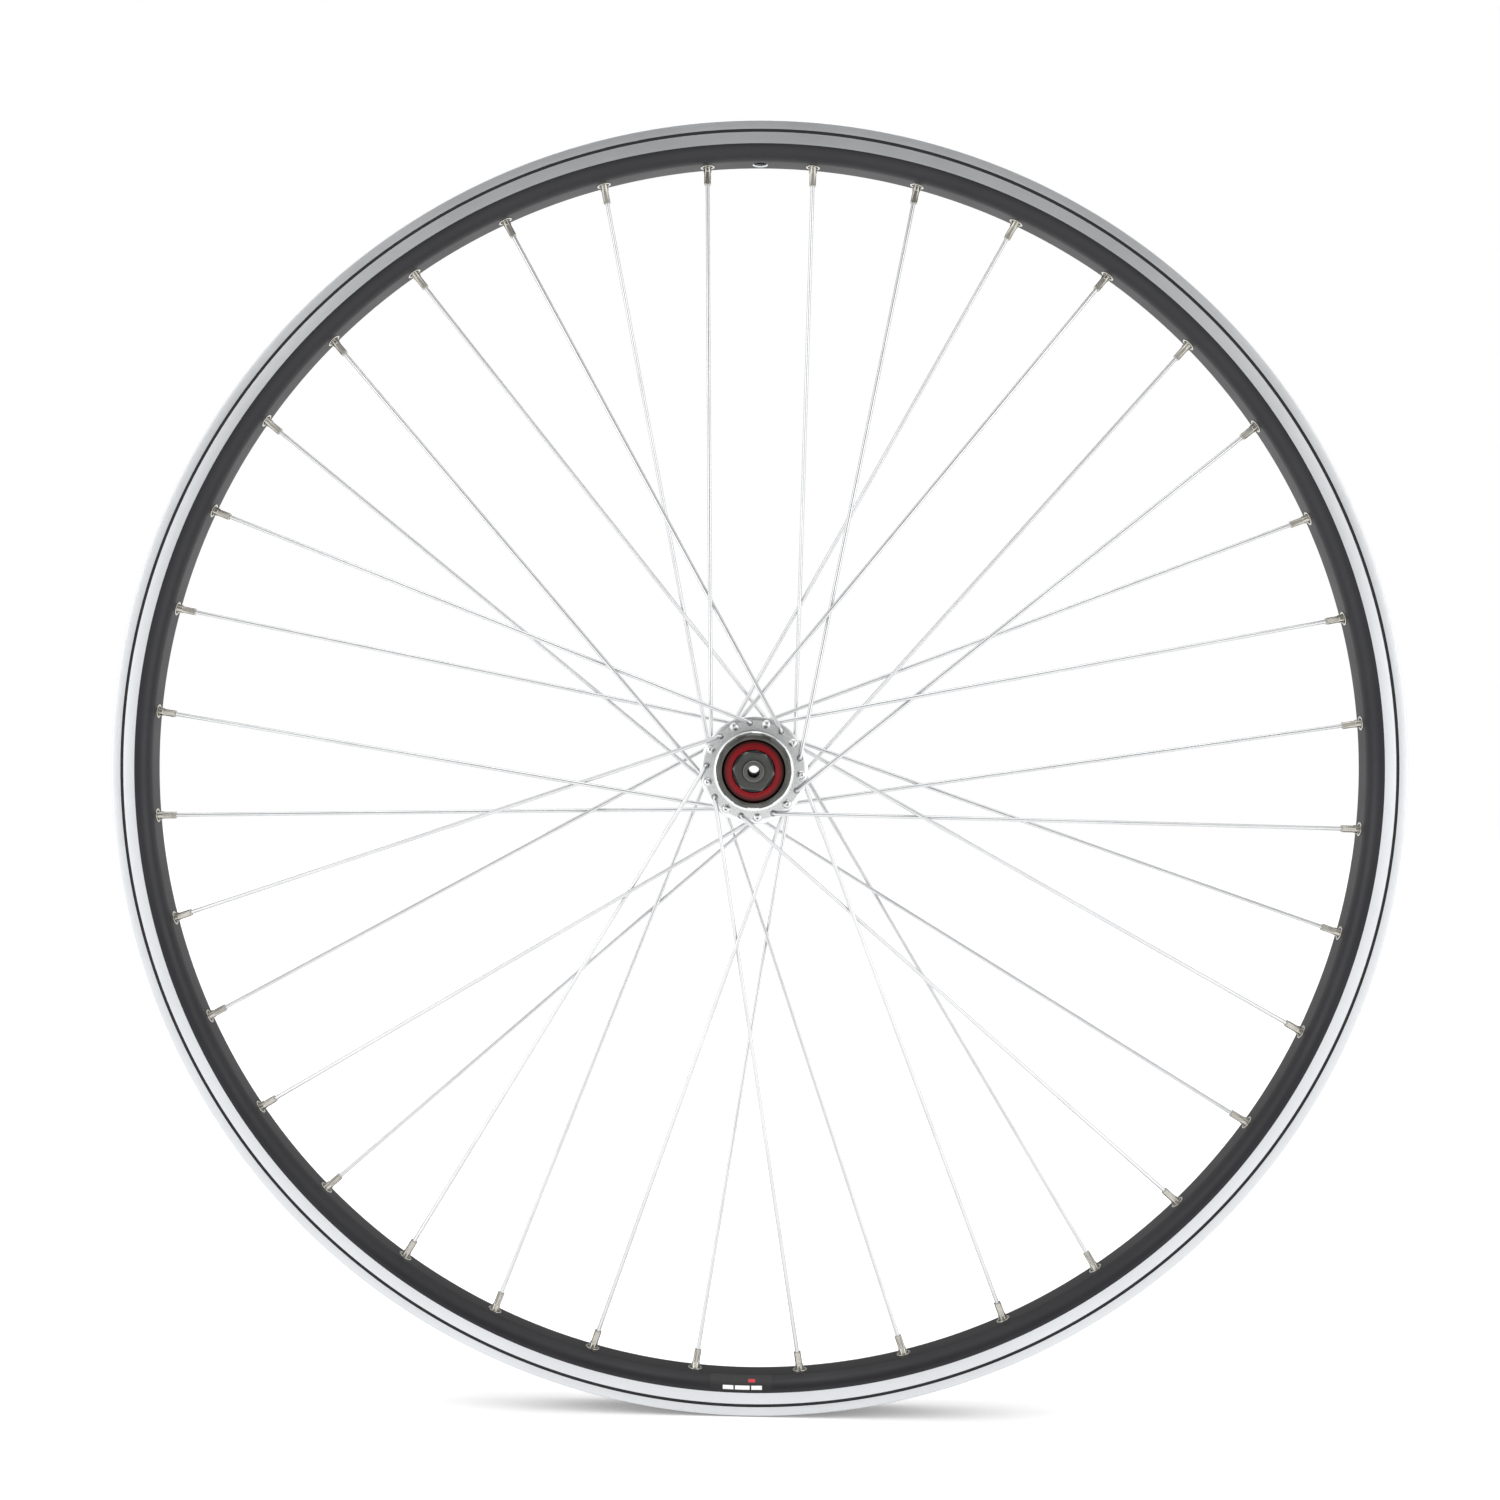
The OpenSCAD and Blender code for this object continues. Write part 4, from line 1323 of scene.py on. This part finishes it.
def studio_world(scene):
    """Soft light all round: bright to the left and right, darker in front above and below."""
    world = bpy.data.worlds.new("studio")
    scene.world = world
    world.use_nodes = True
    tree = world.node_tree
    tree.nodes.clear()
    direction = add(tree, "ShaderNodeTexCoord").outputs["Generated"]
    split = add(tree, "ShaderNodeSeparateXYZ", {0: direction})
    sideways = add(tree, "ShaderNodeMath", {0: split.outputs["X"]}, operation="ABSOLUTE")
    above = add(tree, "ShaderNodeMath", {0: split.outputs["Z"], 1: 0.0}, operation="MAXIMUM")
    below = add(tree, "ShaderNodeMath", {0: split.outputs["Z"], 1: 0.0}, operation="MINIMUM")
    level = 0.45
    for part, gain in ((sideways, 1.15), (above, -0.85), (below, 0.2)):
        terms = {0: part.outputs[0], 1: gain, 2: level}
        level = add(tree, "ShaderNodeMath", terms, operation="MULTIPLY_ADD").outputs[0]
    held = add(tree, "ShaderNodeClamp", {"Value": level, "Min": 0.16, "Max": 1.15})
    # Overhead, a wide soft box
    overhead = add(
        tree,
        "ShaderNodeMapRange",
        {"Value": split.outputs["Z"], "From Min": 0.55, "From Max": 0.85, "To Max": 1.1},
    )
    total = add(tree, "ShaderNodeMath", {0: held.outputs[0], 1: overhead.outputs[0]})
    lit = add(
        tree, "ShaderNodeBackground", {"Color": (1, 1, 1, 1), "Strength": total.outputs[0]}
    )
    seen = add(tree, "ShaderNodeBackground", {"Color": (1, 1, 1, 1), "Strength": 1.0})
    ray = add(tree, "ShaderNodeLightPath").outputs["Is Camera Ray"]
    mix = add(tree, "ShaderNodeMixShader", {0: ray, 1: lit.outputs[0], 2: seen.outputs[0]})
    add(tree, "ShaderNodeOutputWorld", {"Surface": mix.outputs[0]})


def soft_box(name, place, size, watts):
    """A rectangular area light that faces the middle of the wheel."""
    light = bpy.data.lights.new(name, "AREA")
    light.shape = "RECTANGLE"
    light.size, light.size_y = size
    light.energy = watts
    lamp = bpy.data.objects.new(name, light)
    lamp.location = place
    lamp.rotation_mode = "QUATERNION"
    lamp.rotation_quaternion = (-Vector(place)).to_track_quat("-Z", "Y")
    bpy.context.scene.collection.objects.link(lamp)


class WHEEL_OT_stage(BuildOperator, bpy.types.Operator):
    """Set up the floor, the studio light and the camera"""

    bl_idname = "wheel.stage"
    bl_label = "Stage"

    def build(self, scene):
        settings = scene.wheel_stage
        bm = bmesh.new()
        bmesh.ops.create_grid(bm, x_segments=1, y_segments=1, size=6)
        bmesh.ops.translate(bm, vec=(0, 0, cad_box[0].z - 0.0005), verts=bm.verts)
        mesh = bpy.data.meshes.new("floor")
        bm.to_mesh(mesh)
        bm.free()
        mesh.materials.append(made(pale_studio_paper))
        floor = bpy.data.objects.new("floor", mesh)
        scene.collection.objects.link(floor)
        scene.view_settings.view_transform = "Standard"
        studio_world(scene)
        power = settings.brightness
        soft_box("left_box", (-1.6, -1.2, 0.5), (1.2, 1.6), 8 * power)
        soft_box("right_box", (1.6, -1.2, 0.3), (1.2, 1.6), 8 * power)
        soft_box("top_box", (0, -0.3, 2.2), (1.6, 1.6), 10 * power)
        camera = bpy.data.cameras.new("camera")
        camera.sensor_width = 36
        camera.lens = settings.lens
        camera.shift_x = 0.0314
        camera.shift_y = 0.0062
        camera.clip_start = 0.01
        holder = bpy.data.objects.new("camera", camera)
        scene.collection.objects.link(holder)
        holder.rotation_mode = "QUATERNION"
        turn = Matrix.Rotation(settings.turned_left, 4, "Z")
        tilt = Matrix.Rotation(math.radians(90) - settings.tilted_down, 4, "X")
        roll = Matrix.Rotation(settings.rolled, 4, "Z")
        holder.rotation_quaternion = (turn @ tilt @ roll).to_quaternion()
        holder.location = settings.camera_place
        scene.camera = holder


PIECE_OPERATORS = (
    WHEEL_OT_rim,
    WHEEL_OT_label,
    WHEEL_OT_eyelets,
    WHEEL_OT_nipples,
    WHEEL_OT_spokes,
    WHEEL_OT_hub,
    WHEEL_OT_axle,
    WHEEL_OT_freehub,
    WHEEL_OT_balls,
    WHEEL_OT_stage,
)


class WHEEL_PT_panel(bpy.types.Panel):
    bl_label = "Wheel"
    bl_idname = "WHEEL_PT_panel"
    bl_space_type = "VIEW_3D"
    bl_region_type = "UI"
    bl_category = "Wheel"

    def draw(self, context):
        for group in (context.scene.wheel_look, context.scene.wheel_stage):
            for name in group.bl_rna.properties.keys():
                if name not in ("rna_type", "name"):
                    self.layout.prop(group, name)
        for operator in PIECE_OPERATORS:
            self.layout.operator(operator.bl_idname)


CLASSES = (WheelLookSettings, WheelStageSettings, *PIECE_OPERATORS, WHEEL_PT_panel)


def register():
    for one in CLASSES:
        bpy.utils.register_class(one)
    bpy.types.Scene.wheel_look = bpy.props.PointerProperty(type=WheelLookSettings)
    bpy.types.Scene.wheel_stage = bpy.props.PointerProperty(type=WheelStageSettings)


def unregister():
    del bpy.types.Scene.wheel_stage
    del bpy.types.Scene.wheel_look
    for one in reversed(CLASSES):
        bpy.utils.unregister_class(one)


def main():
    register()
    for operator in PIECE_OPERATORS:
        group, name = operator.bl_idname.split(".")
        getattr(getattr(bpy.ops, group), name)()


if __name__ == "__main__":
    main()
